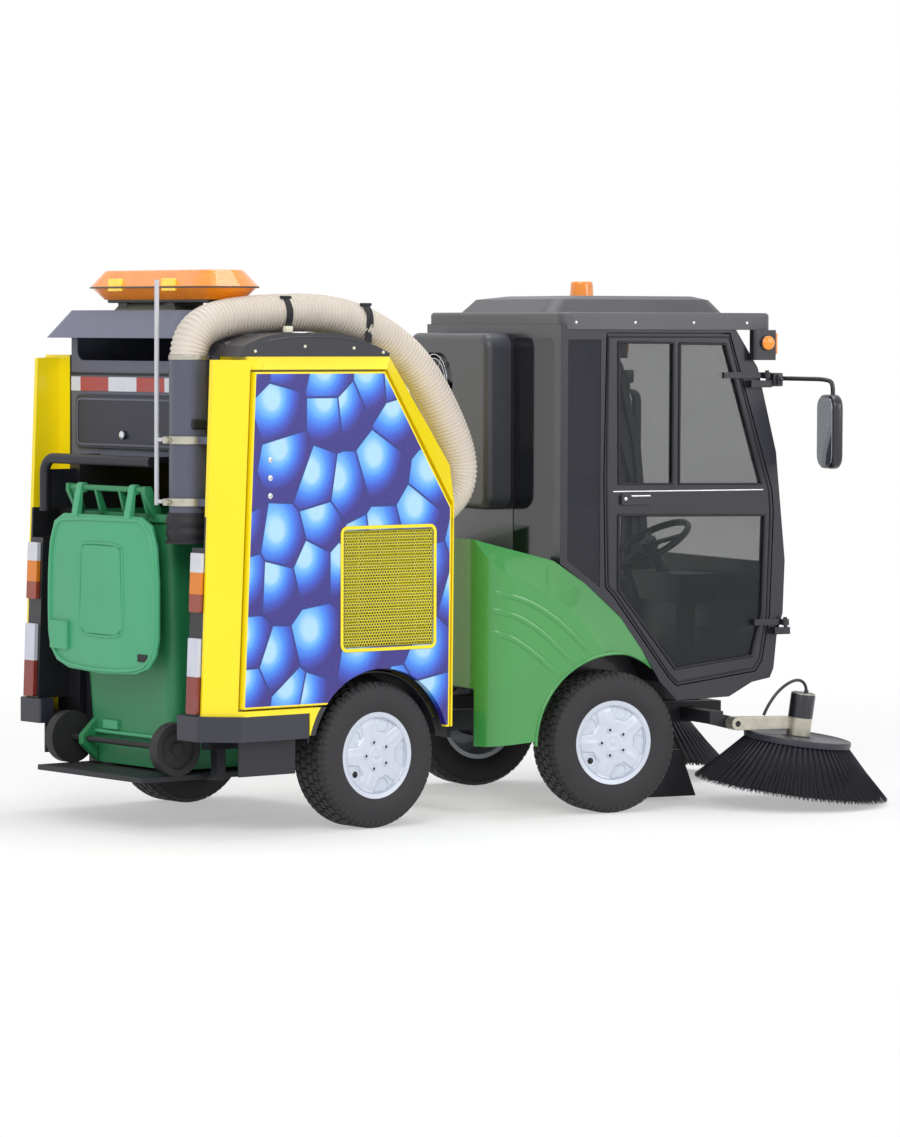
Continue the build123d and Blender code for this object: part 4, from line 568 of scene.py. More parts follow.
class Palette:
    """Every finish of the vehicle, each under a plain name."""

    YELLOW = Coating("yellow paint", (255, 228, 0), 0.30, coat=0.4, drift=0.03, dust=0.05)
    BODY = BodyPaintAndShade("body paint")
    SLATE = Coating("slate plastic", (90, 93, 110), 0.42, drift=0.06, dust=0.06, dust_colour=(140, 142, 152))
    DUCT = Coating("duct plastic", (82, 85, 102), 0.36, drift=0.06, dust=0.04, dust_colour=(140, 142, 152))
    AWNING = Coating("awning plastic", (104, 107, 128), 0.40, drift=0.05, dust=0.05, dust_colour=(150, 152, 164))
    HATCH = Coating("hatch plastic", (30, 32, 48), 0.36, grain=0.0004, pitch=0.004, dust=0.04)
    BLACK = Coating("black enamel", (27, 27, 38), 0.30, coat=0.3, drift=0.12, dust=0.03)
    CHASSIS = Coating("chassis paint", (26, 27, 35), 0.5, drift=0.2, dust=0.12)
    BUMPER = Coating("bumper paint", (46, 47, 58), 0.42, drift=0.1)
    ROOF = Coating(
        "roof plastic", (84, 84, 90), 0.44, grain=0.0005, pitch=0.004, dust=0.06, dust_colour=(150, 152, 162)
    )
    COOLER = Coating("cooler plastic", (70, 72, 80), 0.40, grain=0.0003, dust=0.04)
    BIN = Coating("bin plastic", (44, 132, 84), 0.42, drift=0.07, grain=0.0003)
    LID = Coating("lid plastic", (72, 166, 120), 0.40, drift=0.05, grain=0.0003)
    WING = Coating("wing lacquer", (62, 146, 72), 0.26, coat=0.6, drift=0.04, dust=0.04)
    RUBBER = Coating("tyre rubber", (38, 36, 39), 0.66, drift=0.18, patch=0.08, grain=0.0006, dust=0.12)
    # Inner bristles under the brush plate: near-black, far darker than the tufts' own colour, as painted shade under
    # the plate
    DEEP = Coating("brush core", (12, 12, 17), 0.8, drift=0.2, dust=0.0)
    # Rubber of the seals; the same near-black also serves as painted shade in the lugs' bores, the valve's recess and
    # the lid's notched foot
    SEAL = Coating("window seal", (24, 24, 30), 0.6)
    COVER = Coating("wheel silver", (205, 211, 224), 0.34, metal=0.25, drift=0.04, patch=0.08)
    ZINC = Coating("zinc plate", (186, 182, 168), 0.36, metal=0.85, drift=0.14, patch=0.03)
    POLE = Coating("pole paint", (198, 200, 206), 0.35, metal=0.1)
    HOSE = Coating("hose plastic", (216, 206, 194), 0.46, drift=0.05, patch=0.15)
    CREAM = Coating("cap plastic", (226, 222, 200), 0.4)
    STRAP = Coating("strap webbing", (32, 32, 36), 0.75, grain=0.0008, pitch=0.002)
    OLIVE = Coating("tab plastic", (96, 92, 30), 0.5)
    BASE = Coating("beacon base", (70, 72, 66), 0.45)
    STAND = Coating("stand steel", (104, 112, 100), 0.4, metal=0.4, drift=0.15, patch=0.05)
    GRILLE = Coating("grille plate", (236, 222, 40), 0.35, coat=0.2)
    SEAT = Coating("seat cloth", (44, 46, 58), 0.85, grain=0.0010, pitch=0.0025, drift=0.14, patch=0.05)
    BRISTLE = Coating("bristle", (30, 31, 44), 0.5, drift=0.25, patch=0.03)
    MIRROR = Coating("mirror face", (200, 206, 214), 0.05, metal=1.0, grain=0.0, drift=0.02)
    CHROME = Coating("chrome", (215, 218, 224), 0.12, metal=1.0, drift=0.03)
    GLASS = Pane("smoked glass", (34, 38, 40), 0.38, 0.38)
    # Near-opaque in the rear corners: painted shade of the cab's dark inside, over the smoked glass
    CABIN = Pane("cabin glass", (18, 20, 30), 0.90, 0.30)
    LAMPS = Bands("lamp bodies", 2, ((0.0, (205, 212, 220)), (1.70, (26, 26, 34))))
    AMBER = Lens("amber lens", (250, 140, 8))
    BRIGHT = Lens("bright lens", (255, 205, 40), 0.3)
    TAIL = Bands(
        "tail strips",
        2,
        ((0.0, (132, 44, 34)), (0.600, (206, 208, 222)), (0.780, (150, 60, 40)), (0.905, (224, 126, 20)),
         (0.985, (214, 214, 222))),
    )
    STRIPE = Bands(
        "reflective stripe",
        1,
        ((-1.0, (214, 216, 226)), (-0.530, (170, 52, 44)), (-0.329, (214, 216, 226)), (-0.142, (170, 52, 44)),
         (0.041, (214, 216, 226)), (0.227, (170, 52, 44)), (0.415, (214, 216, 226))),
    )
    PRINT = PanelPrintAndShade("panel print")


NODE_FINISHES: dict[str, tuple[str, ...]] = {
    "BODY": ("body_shell",),
    "PRINT": ("side_panel_right", "side_panel_left"),
    "SLATE": ("hopper",),
    "DUCT": ("suction_duct",),
    "AWNING": ("hopper_hood",),
    "HATCH": ("hopper_hatch",),
    "BLACK": ("cab_body", "cab_door_right", "cab_door_left", "top_cover", "dashboard", "steering_wheel", "mirrors"),
    "CHASSIS": ("rear_frame", "front_frame", "rear_axle", "front_axle", "engine_block", "suction_nozzle",
                "lift_bar", "bin_platform", "seat_base"),
    "BUMPER": ("rear_bumper",),
    "ROOF": ("cab_roof",),
    "COOLER": ("cooler_box",),
    "BIN": ("bin",),
    "LID": ("bin_lid",),
    "WING": ("wings",),
    "RUBBER": ("tyre_rear_right", "tyre_rear_left", "tyre_front_right", "tyre_front_left", "bin_wheels"),
    "COVER": ("rim_rear_right", "rim_rear_left", "rim_front_right", "rim_front_left"),
    "GLASS": ("door_glass_right", "door_glass_left"),
    "CABIN": ("cab_glass",),
    "HOSE": ("suction_hose",),
    "POLE": ("guide_pole",),
    "STAND": ("beacon_stand",),
    "AMBER": ("beacon_bar", "roof_beacon"),
    "TAIL": ("tail_lamps",),
    "LAMPS": ("front_lamps",),
    "SEAT": ("seat_cushion", "seat_back"),
    "ZINC": ("brush_arm_right", "brush_arm_left"),
    "BRISTLE": ("brush_right", "brush_left"),
}


class Bench:
    """Modelling moves on one object, each made with Blender's own operators."""

    @staticmethod
    def only(thing: Thing) -> Thing:
        """Make one object the selected and active one.

        Args:
            thing: the object.

        Returns:
            The same object.
        """
        bpy.ops.object.select_all(action="DESELECT")
        thing.select_set(True)
        bpy.context.view_layer.objects.active = thing
        return thing

    @staticmethod
    def free() -> None:
        """Deselect everything before a primitive is added."""
        bpy.ops.object.select_all(action="DESELECT")

    @classmethod
    def modify(cls, thing: Thing, kind: str, **settings: object) -> Thing:
        """Add one modifier and apply it.

        Args:
            thing: the object.
            kind: the modifier's type.
            settings: its settings by name.

        Returns:
            The same object.
        """
        cls.only(thing)
        modifier = thing.modifiers.new(kind.title(), kind)
        for key, value in settings.items():
            setattr(modifier, key, value)
        bpy.ops.object.modifier_apply(modifier=modifier.name)
        return thing

    @classmethod
    def edit(cls, thing: Thing, *moves: Callable[[], object]) -> Thing:
        """Run moves in edit mode with everything selected first.

        Args:
            thing: the object.
            moves: calls without arguments, in order.

        Returns:
            The same object.
        """
        cls.only(thing)
        bpy.ops.object.mode_set(mode="EDIT")
        bpy.ops.mesh.select_all(action="SELECT")
        for move in moves:
            move()
        bpy.ops.object.mode_set(mode="OBJECT")
        return thing

    @classmethod
    def tidy(cls, thing: Thing) -> Thing:
        """Merge doubled points and turn every face outwards.

        Args:
            thing: the object.

        Returns:
            The same object.
        """
        return cls.edit(
            thing,
            lambda: bpy.ops.mesh.remove_doubles(threshold=1e-5),
            lambda: bpy.ops.mesh.normals_make_consistent(inside=False),
        )

    @classmethod
    def smooth(cls, thing: Thing, angle: float = 35.0) -> Thing:
        """Shade smooth up to an angle between faces.

        Args:
            thing: the object.
            angle: that angle in degrees.

        Returns:
            The same object.
        """
        cls.only(thing)
        bpy.ops.object.shade_smooth_by_angle(angle=math.radians(angle))
        return thing

    @classmethod
    def block(cls, low: Point, high: Point, bevel: float = 0.0) -> Thing:
        """A block between two corners, with its edges rounded.

        Args:
            low: one corner.
            high: the corner across from it.
            bevel: how wide the rounding is.

        Returns:
            The block.
        """
        cls.free()
        middle = [(a + b) / 2 for a, b in zip(low, high)]
        bpy.ops.mesh.primitive_cube_add(size=1.0, location=middle)
        thing = bpy.context.object
        thing.scale = [abs(b - a) for a, b in zip(low, high)]
        bpy.ops.object.transform_apply(location=True, rotation=True, scale=True)
        if bevel:
            cls.modify(thing, "BEVEL", width=bevel, segments=2)
        return thing

    @classmethod
    def rod(cls, start: Point, end: Point, radius: float, sides: int = 20, bevel: float = 0.0) -> Thing:
        """A round bar between two points, with its rims rounded.

        Args:
            start: the middle of one end.
            end: the middle of the other end.
            radius: the bar's radius.
            sides: how many flats make it round.
            bevel: how wide the rims' rounding is.

        Returns:
            The bar.
        """
        cls.free()
        line = Vector(end) - Vector(start)
        turn = line.to_track_quat("Z", "Y").to_euler()
        middle = (Vector(start) + Vector(end)) / 2
        bpy.ops.mesh.primitive_cylinder_add(
            vertices=sides, radius=radius, depth=line.length, location=middle, rotation=turn
        )
        bpy.ops.object.transform_apply(location=True, rotation=True, scale=True)
        thing = bpy.context.object
        if bevel:
            cls.modify(thing, "BEVEL", width=bevel, segments=2, limit_method="ANGLE")
        return cls.smooth(thing)

    @classmethod
    def outline(cls, points: Sequence[Point], sweep: Point, bevel: float = 0.0, segments: int = 2) -> Thing:
        """A plate: a face through the points, extruded along the sweep.

        Args:
            points: the face's outline, in order.
            sweep: how far and which way it is extruded.
            bevel: how wide the rounding of its sharp edges is.
            segments: how many steps the rounding has.

        Returns:
            The plate.
        """
        cls.free()
        bpy.ops.mesh.primitive_circle_add(vertices=len(points), radius=1.0, fill_type="NGON", location=(0, 0, 0))
        thing = bpy.context.object
        for vertex, point in zip(thing.data.vertices, points):
            vertex.co = point
        cls.edit(
            thing,
            lambda: bpy.ops.mesh.extrude_region_move(TRANSFORM_OT_translate={"value": sweep}),
            lambda: bpy.ops.mesh.select_all(action="SELECT"),
            lambda: bpy.ops.mesh.normals_make_consistent(inside=False),
        )
        if bevel:
            sharp = math.radians(40)
            cls.modify(thing, "BEVEL", width=bevel, segments=segments, limit_method="ANGLE", angle_limit=sharp)
        return thing

    @classmethod
    def hoop(cls, points: Sequence[Point], width: float, thickness: float, bevel: float, segments: int) -> Thing:
        """A flat frame whose outer edge runs through the points.

        Args:
            points: its outer edge, in order.
            width: how wide the frame is.
            thickness: how thick it is.
            bevel: how wide the rounding of its edges is.
            segments: how many steps the rounding has.

        Returns:
            The frame.
        """
        cls.free()
        bpy.ops.mesh.primitive_circle_add(vertices=len(points), radius=1.0, fill_type="NGON")
        thing = bpy.context.object
        for vertex, point in zip(thing.data.vertices, points):
            vertex.co = point
        cls.edit(
            thing,
            lambda: bpy.ops.mesh.inset(thickness=width),
            lambda: bpy.ops.mesh.delete(type="FACE"),
        )
        cls.modify(thing, "SOLIDIFY", thickness=thickness, offset=0)
        return cls.smooth(cls.modify(thing, "BEVEL", width=bevel, segments=segments))

    @classmethod
    def lathe(cls, section: Sequence[Pair], centre: Point, axis: Point, steps: int, closed: bool = True) -> Thing:
        """Spin a closed section about an axis.

        Args:
            section: pairs of radius and place along the axis.
            centre: a point on the axis.
            axis: its direction.
            steps: how many steps a full turn has.
            closed: False leaves the section open between its last and first point.

        Returns:
            The spun object.
        """
        cls.free()
        bpy.ops.mesh.primitive_circle_add(vertices=len(section), radius=1.0, location=(0, 0, 0))
        thing = bpy.context.object
        way = Vector(axis).normalized()
        out = way.orthogonal().normalized()
        centre = tuple(centre)
        for vertex, (radius, along) in zip(thing.data.vertices, section):
            vertex.co = Vector(centre) + out * radius + way * along
        moves = [
            lambda: bpy.ops.mesh.spin(steps=steps, angle=2 * math.pi, center=centre, axis=tuple(way)),
            lambda: bpy.ops.mesh.select_all(action="SELECT"),
            lambda: bpy.ops.mesh.remove_doubles(threshold=1e-5),
            lambda: bpy.ops.mesh.normals_make_consistent(inside=False),
        ]
        if not closed:
            ends = {0, len(section) - 1}
            seam = next(edge.index for edge in thing.data.edges if set(edge.vertices) == ends)
            cls.only(thing)
            bpy.ops.object.mode_set(mode="EDIT")
            bpy.ops.mesh.select_mode(type="EDGE")
            bpy.ops.mesh.select_all(action="DESELECT")
            bpy.ops.object.mode_set(mode="OBJECT")
            thing.data.edges[seam].select = True
            bpy.ops.object.mode_set(mode="EDIT")
            bpy.ops.mesh.delete(type="EDGE")
            bpy.ops.mesh.select_mode(type="VERT")
            bpy.ops.object.mode_set(mode="OBJECT")
        return cls.smooth(cls.edit(thing, *moves))

    @staticmethod
    def curve(points: Sequence[Point], spline: str, resolution: int = 6) -> Thing:
        """A curve object with one spline.

        Args:
            points: the points that guide it.
            spline: NURBS for a smooth run, POLY for a straight one from point to point.
            resolution: how finely a smooth run is divided.

        Returns:
            The curve, linked to the scene.
        """
        line = bpy.data.curves.new("line", "CURVE")
        line.dimensions = "3D"
        run = line.splines.new(spline)
        run.points.add(len(points) - 1)
        for point, place in zip(run.points, points):
            point.co = (*place, 1.0)
        if spline == "NURBS":
            run.order_u = 3
            run.use_endpoint_u = True
            run.resolution_u = resolution
        holder = bpy.data.objects.new("line", line)
        bpy.context.scene.collection.objects.link(holder)
        return holder

    @classmethod
    def pipe(cls, points: Sequence[Point], radius: float, sides: int = 4, spline: str = "NURBS") -> Thing:
        """A round wire or pipe along points, made a mesh.

        Args:
            points: the points that guide its middle.
            radius: its radius.
            sides: how finely it is rounded.
            spline: NURBS for a smooth run, POLY for a straight one from point to point.

        Returns:
            The pipe.
        """
        thing = cls.curve(points, spline)
        thing.data.bevel_depth = radius
        thing.data.bevel_resolution = sides
        thing.data.use_fill_caps = True
        cls.only(thing)
        bpy.ops.object.convert(target="MESH")
        return cls.smooth(cls.tidy(bpy.context.object), 50)

    @classmethod
    def turned(cls, thing: Thing, count: int, centre: Point, axis: Point) -> Thing:
        """Repeat an object round an axis with an Array modifier.

        Args:
            thing: the object.
            count: how many there are in a full turn.
            centre: a point on the axis.
            axis: its direction.

        Returns:
            The same object, repeated.
        """
        marker = bpy.data.objects.new("turn", None)
        bpy.context.scene.collection.objects.link(marker)
        middle = Matrix.Translation(centre)
        marker.matrix_world = middle @ Matrix.Rotation(2 * math.pi / count, 4, Vector(axis)) @ middle.inverted()
        bpy.context.view_layer.update()
        cls.modify(
            thing, "ARRAY", count=count, use_relative_offset=False, use_object_offset=True, offset_object=marker
        )
        bpy.data.objects.remove(marker)
        return thing

    @classmethod
    def rowed(cls, thing: Thing, count: int, step: Point) -> Thing:
        """Repeat an object along a step with an Array modifier.

        Args:
            thing: the object.
            count: how many there are.
            step: the way from one to the next.

        Returns:
            The same object, repeated.
        """
        return cls.modify(
            thing, "ARRAY", count=count, use_relative_offset=False, use_constant_offset=True,
            constant_offset_displace=step,
        )

    @classmethod
    def join(cls, things: Sequence[Thing]) -> Thing:
        """Join objects into the first.

        Args:
            things: the objects.

        Returns:
            The joined object.
        """
        cls.only(things[0])
        for thing in things[1:]:
            thing.select_set(True)
        bpy.ops.object.join()
        return bpy.context.object

    @classmethod
    def twin(cls, thing: Thing, matrix: Matrix) -> Thing:
        """A copy with its own mesh, moved by a matrix.

        Args:
            thing: the object.
            matrix: where its copy goes; one that mirrors has its faces turned outwards again.

        Returns:
            The copy.
        """
        made = bpy.data.objects.new(thing.name + ".copy", thing.data.copy())
        bpy.context.scene.collection.objects.link(made)
        made.data.transform(matrix)
        if matrix.determinant() < 0:
            made.data.flip_normals()
        return made

    @classmethod
    def mirrored(cls, thing: Thing) -> Thing:
        """The left-hand twin of a right-hand piece."""
        return cls.twin(thing, Matrix.Diagonal((1, -1, 1, 1)))

    @classmethod
    def reflected(cls, thing: Thing) -> Thing:
        """A right-hand piece turned into its left-hand twin.

        Args:
            thing: the right-hand piece, which goes.

        Returns:
            The left-hand piece.
        """
        made = cls.mirrored(thing)
        bpy.data.objects.remove(thing)
        return made

    @classmethod
    def from_node(cls, node: Thing) -> Thing:
        """A merged copy of one of the frame's nodes, free to be shaped.

        Args:
            node: the frame's object.

        Returns:
            The copy.
        """
        made = bpy.data.objects.new("copy", node.data.copy())
        bpy.context.scene.collection.objects.link(made)
        return cls.edit(made, lambda: bpy.ops.mesh.remove_doubles(threshold=1e-5))


class Kit:
    """What every sub-assembly works with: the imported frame, the finishes and the two modules' places."""

    def __init__(self, frame: dict) -> None:
        """Work the modules' places out from the steering joint, and dress every node of the frame.
        """
        self.frame = frame
        steering = next(joint for joint in frame["joints"] if joint["name"] == "steering")
        pivot = Vector((steering["pos_m"][0], steering["pos_m"][1], 0.0))
        back = Matrix.Translation((-PIVOT_X, 0, 0))
        turn = Matrix.Rotation(PARKED_ANGLE, 4, "Z")
        self.places = {
            Module.REAR: Matrix.Translation(pivot) @ back,
            Module.FRONT: Matrix.Translation(pivot) @ turn @ back,
        }
        self.made: dict[str, bpy.types.Material] = {}
        for key, nodes in NODE_FINISHES.items():
            for node in nodes:
                self.coat(frame["nodes"][node], key)

    def material(self, key: str) -> bpy.types.Material:
        """A finish of the palette, built the first time it is asked for.

        Args:
            key: its name in the palette.

        Returns:
            The material.
        """
        if key not in self.made:
            finish = getattr(Palette, key)
            needs_kit = isinstance(finish, (Bands, Pane, PanelPrintAndShade, BodyPaintAndShade))
            self.made[key] = finish.make(self) if needs_kit else finish.make()
        return self.made[key]

    def coat(self, thing: Thing, key: str) -> None:
        """Give an object one finish on all its faces.

        Args:
            thing: the object.
            key: the finish's name in the palette.
        """
        if thing.material_slots:
            for slot in thing.material_slots:
                slot.material = self.material(key)
        else:
            thing.data.materials.append(self.material(key))

    def seat(
        self,
        thing: Thing,
        name: str,
        key: str,
        body: str,
        module: Module = Module.REAR,
        replaces: Iterable[str] = (),
        placed: bool = False,
    ) -> Thing:
        """Put a finished piece in its place in the frame.

        Args:
            thing: the piece, in its module's layout.
            name: its name.
            key: its finish.
            body: the body that it rides on.
            module: whose layout it was made in.
            replaces: the frame's nodes that it stands for.
            placed: True where it is in the frame's place already.

        Returns:
            The piece.
        """
        if not placed:
            thing.data.transform(self.places[module])
        thing.name = name
        thing.data.name = name
        thing.data.materials.clear()
        thing.data.materials.append(self.material(key))
        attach(thing, body)
        if replaces:
            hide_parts(*replaces)
        log.info("%s: %d faces on %s", name, len(thing.data.polygons), body)
        return thing


@dataclass
class SidePanels:
    """What the two side panels carry: a perforated grille plate in its border, and three locks."""

    kit: Kit
    plate_x: Pair = (-0.190, 0.257)
    plate_z: Pair = (0.680, 1.141)
    pitch: float = 0.0125
    hole: float = 0.0017
    plate_thick: float = 0.0012
    proud: float = 0.0025
    overlap: float = 0.012
    frame_width: float = 0.013
    frame_thick: float = 0.004
    frame_corner: float = 0.030
    lock_x: float = -0.524
    lock_z: tuple[float, ...] = (1.400, 1.333, 1.267)
    lock_radius: float = 0.011

    def build(self) -> None:
        """Make the right-hand pieces and their left-hand twins."""
        for side, body in ((-1, "panel_right"), (1, "panel_left")):
            word = "right" if side < 0 else "left"
            for piece, name, key in (
                (self.mesh(), "grille_plate", "GRILLE"),
                (self.border(), "grille_border", "YELLOW"),
                (self.locks(), "panel_locks", "CHROME"),
            ):
                if side > 0:
                    piece = Bench.reflected(piece)
                self.kit.seat(piece, f"{name}_{word}", key, body)

    def mesh(self) -> Thing:
        """The perforated plate: one six-sided cell with its hole, repeated in staggered rows.

        Returns:
            The plate.
        """
        Bench.free()
        radius = self.pitch / math.sqrt(3)
        bpy.ops.mesh.primitive_circle_add(vertices=6, radius=radius, fill_type="NGON", rotation=(math.pi / 2, 0, 0))
        thing = bpy.context.object
        bpy.ops.object.transform_apply(location=True, rotation=True, scale=True)
        Bench.edit(
            thing,
            lambda: bpy.ops.mesh.inset(thickness=self.hole),
            lambda: bpy.ops.mesh.delete(type="FACE"),
        )
        width = self.plate_x[1] - self.plate_x[0] - self.overlap
        height = self.plate_z[1] - self.plate_z[0] - self.overlap
        columns = int(width / self.pitch)
        pairs = int(height / (3 * radius))
        Bench.rowed(thing, columns, (self.pitch, 0, 0))
        Bench.rowed(thing, 2, (self.pitch / 2, 0, 1.5 * radius))
        Bench.rowed(thing, pairs, (0, 0, 3 * radius))
        start_x = sum(self.plate_x) / 2 - (columns - 0.5) * self.pitch / 2
        start_z = sum(self.plate_z) / 2 - (2 * pairs - 1) * 0.75 * radius
        thing.data.transform(Matrix.Translation((start_x, -BODY_HALF - self.proud + 0.001, start_z)))
        Bench.tidy(thing)
        return Bench.modify(thing, "SOLIDIFY", thickness=self.plate_thick, offset=0)

    def border(self) -> Thing:
        """The frame round the plate: a rounded plate, inset and opened.

        Returns:
            The frame.
        """
        x0, x1 = self.plate_x
        z0, z1 = self.plate_z
        edge = rounded_rectangle(x1 - x0 + self.overlap, z1 - z0 + self.overlap, self.frame_corner, 6)
        points = [((x0 + x1) / 2 + x, -BODY_HALF - self.proud, (z0 + z1) / 2 + z) for x, z in edge]
        return Bench.hoop(points, self.frame_width, self.frame_thick, 0.001, 1)

    def locks(self) -> Thing:
        """Three round locks, each a lathed barrel with its key slot.

        Returns:
            The locks as one piece.
        """
        barrels = []
        for z in self.lock_z:
            section = [(0.0, 0.006), (0.004, 0.006), (0.0045, 0.0045), (0.008, 0.0045), (self.lock_radius, 0.003),
                       (self.lock_radius, -0.002), (0.0, -0.002)]
            barrels.append(Bench.lathe(section, (self.lock_x, -BODY_HALF, z), (0, -1, 0), 20, closed=False))
            slot = Bench.block((self.lock_x - 0.0010, -BODY_HALF - 0.0068, z - 0.003),
                               (self.lock_x + 0.0010, -BODY_HALF - 0.0050, z + 0.003))
            barrels.append(slot)
        return Bench.join(barrels)


def rounded_rectangle(width: float, height: float, radius: float, steps: int) -> list[Pair]:
    """The points of a rectangle with round corners, about its middle.

    Args:
        width: its first size.
        height: its second size.
        radius: the corners' radius.
        steps: how many steps a corner has.

    Returns:
        The points in order.
    """
    points = []
    for corner, (sx, sz) in enumerate(((1, 1), (-1, 1), (-1, -1), (1, -1))):
        for step in range(steps + 1):
            angle = math.pi / 2 * (corner + step / steps)
            x = sx * (width / 2 - radius) + radius * math.cos(angle)
            z = sz * (height / 2 - radius) + radius * math.sin(angle)
            points.append((x, z))
    return points


@dataclass
class Wheels:
    """Tyres with tread blocks and silver covers with five lobes."""

    kit: Kit
    carcass: float = 0.2695
    bead: float = 0.153
    cover_radius: float = 0.146
    cover_bore: float = 0.006
    pocket_from: Pair = (0.088, 0.099)
    pocket_to: Pair = (0.138, 0.143)
    pocket_depth: float = 0.013
    lobe_degrees: float = 17.5
    lug_circle: float = 0.052
    lug_section: tuple[Pair, ...] = (
        (0.0056, 0.0800), (0.0056, 0.0858), (0.0066, 0.0870), (0.0096, 0.0870), (0.0108, 0.0855), (0.0108, 0.0800),
    )
    valve: Pair = (0.117, math.radians(216))
    curl: float = 3375.0
    # Each row's place across, block width, block length, count and turn in shares of a block
    tread: tuple[tuple[float, float, float, int, float], ...] = (
        (0.0790, 0.024, 0.020, 62, 0.0), (0.0500, 0.024, 0.031, 44, 0.4), (0.0180, 0.026, 0.031, 44, 0.0),
        (-0.0180, 0.026, 0.031, 44, 0.5), (-0.0500, 0.024, 0.031, 44, 0.1), (-0.0790, 0.024, 0.020, 62, 0.5),
    )

    def build(self) -> None:
        """Model one wheel about the origin and copy it to the four places."""
        tyre = self.tyre()
        cover = self.cover()
        hole_shade = self.hole_shade()
        for name, axle_x, side, module in (
            ("rear_right", 0.0, -1, Module.REAR),
            ("rear_left", 0.0, 1, Module.REAR),
            ("front_right", WHEELBASE, -1, Module.FRONT),
            ("front_left", WHEELBASE, 1, Module.FRONT),
        ):
            place = Matrix.Translation((axle_x, side * WHEEL_Y, TYRE_RADIUS)) @ Matrix.Diagonal((1, -side, 1, 1))
            self.kit.seat(Bench.twin(tyre, place), f"tread_{name}", "RUBBER", f"wheel_{name}", module,
                          [f"tyre_{name}"])
            self.kit.seat(Bench.twin(cover, place), f"cover_{name}", "COVER", f"wheel_{name}", module)
            # Near-black discs in the lugs' bores and the valve's recess are painted shade; the valve's stem keeps its
            # own dark colour
            self.kit.seat(Bench.twin(hole_shade, place), f"cover_holes_{name}", "SEAL", f"wheel_{name}", module)
        for thing in (tyre, cover, hole_shade):
            bpy.data.objects.remove(thing)

    def tyre(self) -> Thing:
        """The carcass, spun from its section, and its rows of blocks; its outer side faces -Y.

        Returns:
            The tyre about the origin.
        """
        half = TYRE_WIDTH / 2
        section = [(self.bead, 0.0775), (0.172, 0.0885), (0.188, 0.0955), (0.206, half), (0.222, 0.0970),
                   (0.238, 0.0945), (0.251, 0.0905), (0.262, 0.0850), (self.carcass, 0.0730)]
        full = section + [(radius, -along) for radius, along in reversed(section)]
        carcass = Bench.lathe(full, (0, 0, 0), (0, -1, 0), 96)
        blocks = []
        shoulders = (0, len(self.tread) - 1)
        for row, (middle, width, length, count, turn) in enumerate(self.tread):
            top = TYRE_RADIUS - (0.0022 if row in shoulders else 0.0004)
            block = Bench.block((-length / 2, -middle - width / 2, self.carcass - 0.008),
                                (length / 2, -middle + width / 2, top), 0.0015)
            if row in shoulders:
                self.droop(block, -math.copysign(1, middle), -middle)
            block.data.transform(Matrix.Rotation(2 * math.pi * turn / count, 4, "Y"))
            blocks.append(Bench.turned(block, count, (0, 0, 0), (0, 1, 0)))
        return Bench.smooth(Bench.join([carcass, *blocks]), 30)

    def droop(self, block: Thing, way: float, middle: float) -> None:
        """Bend a shoulder block down over the tyre's shoulder.

        Args:
            block: the block.
            way: +1 or -1 for the side that it bends to.
            middle: the block's place across the tyre.
        """
        for vertex in block.data.vertices:
            outward = max(0.0, (vertex.co.y - middle) * way + 0.004)
            vertex.co.z -= self.curl * outward ** 3 + 0.25 * outward

    def cover(self) -> Thing:
        """The wheel cover: a round grid whose heights make lip, lobes, pockets and bosses; it faces -Y.

        Returns:
            The cover about the origin.
        """
        rings, spokes = 40, 180
        Bench.free()
        bpy.ops.mesh.primitive_grid_add(x_subdivisions=rings, y_subdivisions=spokes, size=2)
        thing = bpy.context.object
        for vertex in thing.data.vertices:
            share = (vertex.co.x + 1) / 2
            angle = math.pi * (vertex.co.y + 1)
            radius = self.cover_bore + (self.cover_radius - self.cover_bore) * share
            vertex.co = (radius * math.cos(angle), -self.height(radius, angle), radius * math.sin(angle))
        Bench.tidy(thing)
        Bench.smooth(thing, 40)
        bosses = [Bench.rod((0, -0.079, 0), (0, -0.084, 0), 0.009, 20, 0.0015)]
        for x, z in self.lugs():
            bosses.append(Bench.lathe(self.lug_section, (x, 0, z), (0, -1, 0), 20))
        return Bench.join([thing, *bosses])

    def lugs(self) -> list[Pair]:
        """Where the five lugs stand, forward and up from the wheel's middle."""
        turns = [math.radians(36 + 72 * turn) for turn in range(5)]
        return [(self.lug_circle * math.cos(turn), self.lug_circle * math.sin(turn)) for turn in turns]

    def hole_shade(self) -> Thing:
        """The dark inside of each lug and of the valve's round recess in one pocket, as painted shade, with the
        valve's stem.

        Returns:
            The painted-shade discs and the valve's stem as one.
        """
        discs = [Bench.rod((x, -0.0805, z), (x, -0.0845, z), 0.0057, 14, 0.0006) for x, z in self.lugs()]
        radius, turn = self.valve
        x, z = radius * math.cos(turn), radius * math.sin(turn)
        discs.append(Bench.rod((x, -0.062, z), (x, -0.0702, z), 0.0145, 24, 0.002))
        discs.append(Bench.rod((x, -0.066, z), (x, -0.0760, z), 0.0040, 12, 0.001))
        return Bench.join(discs)

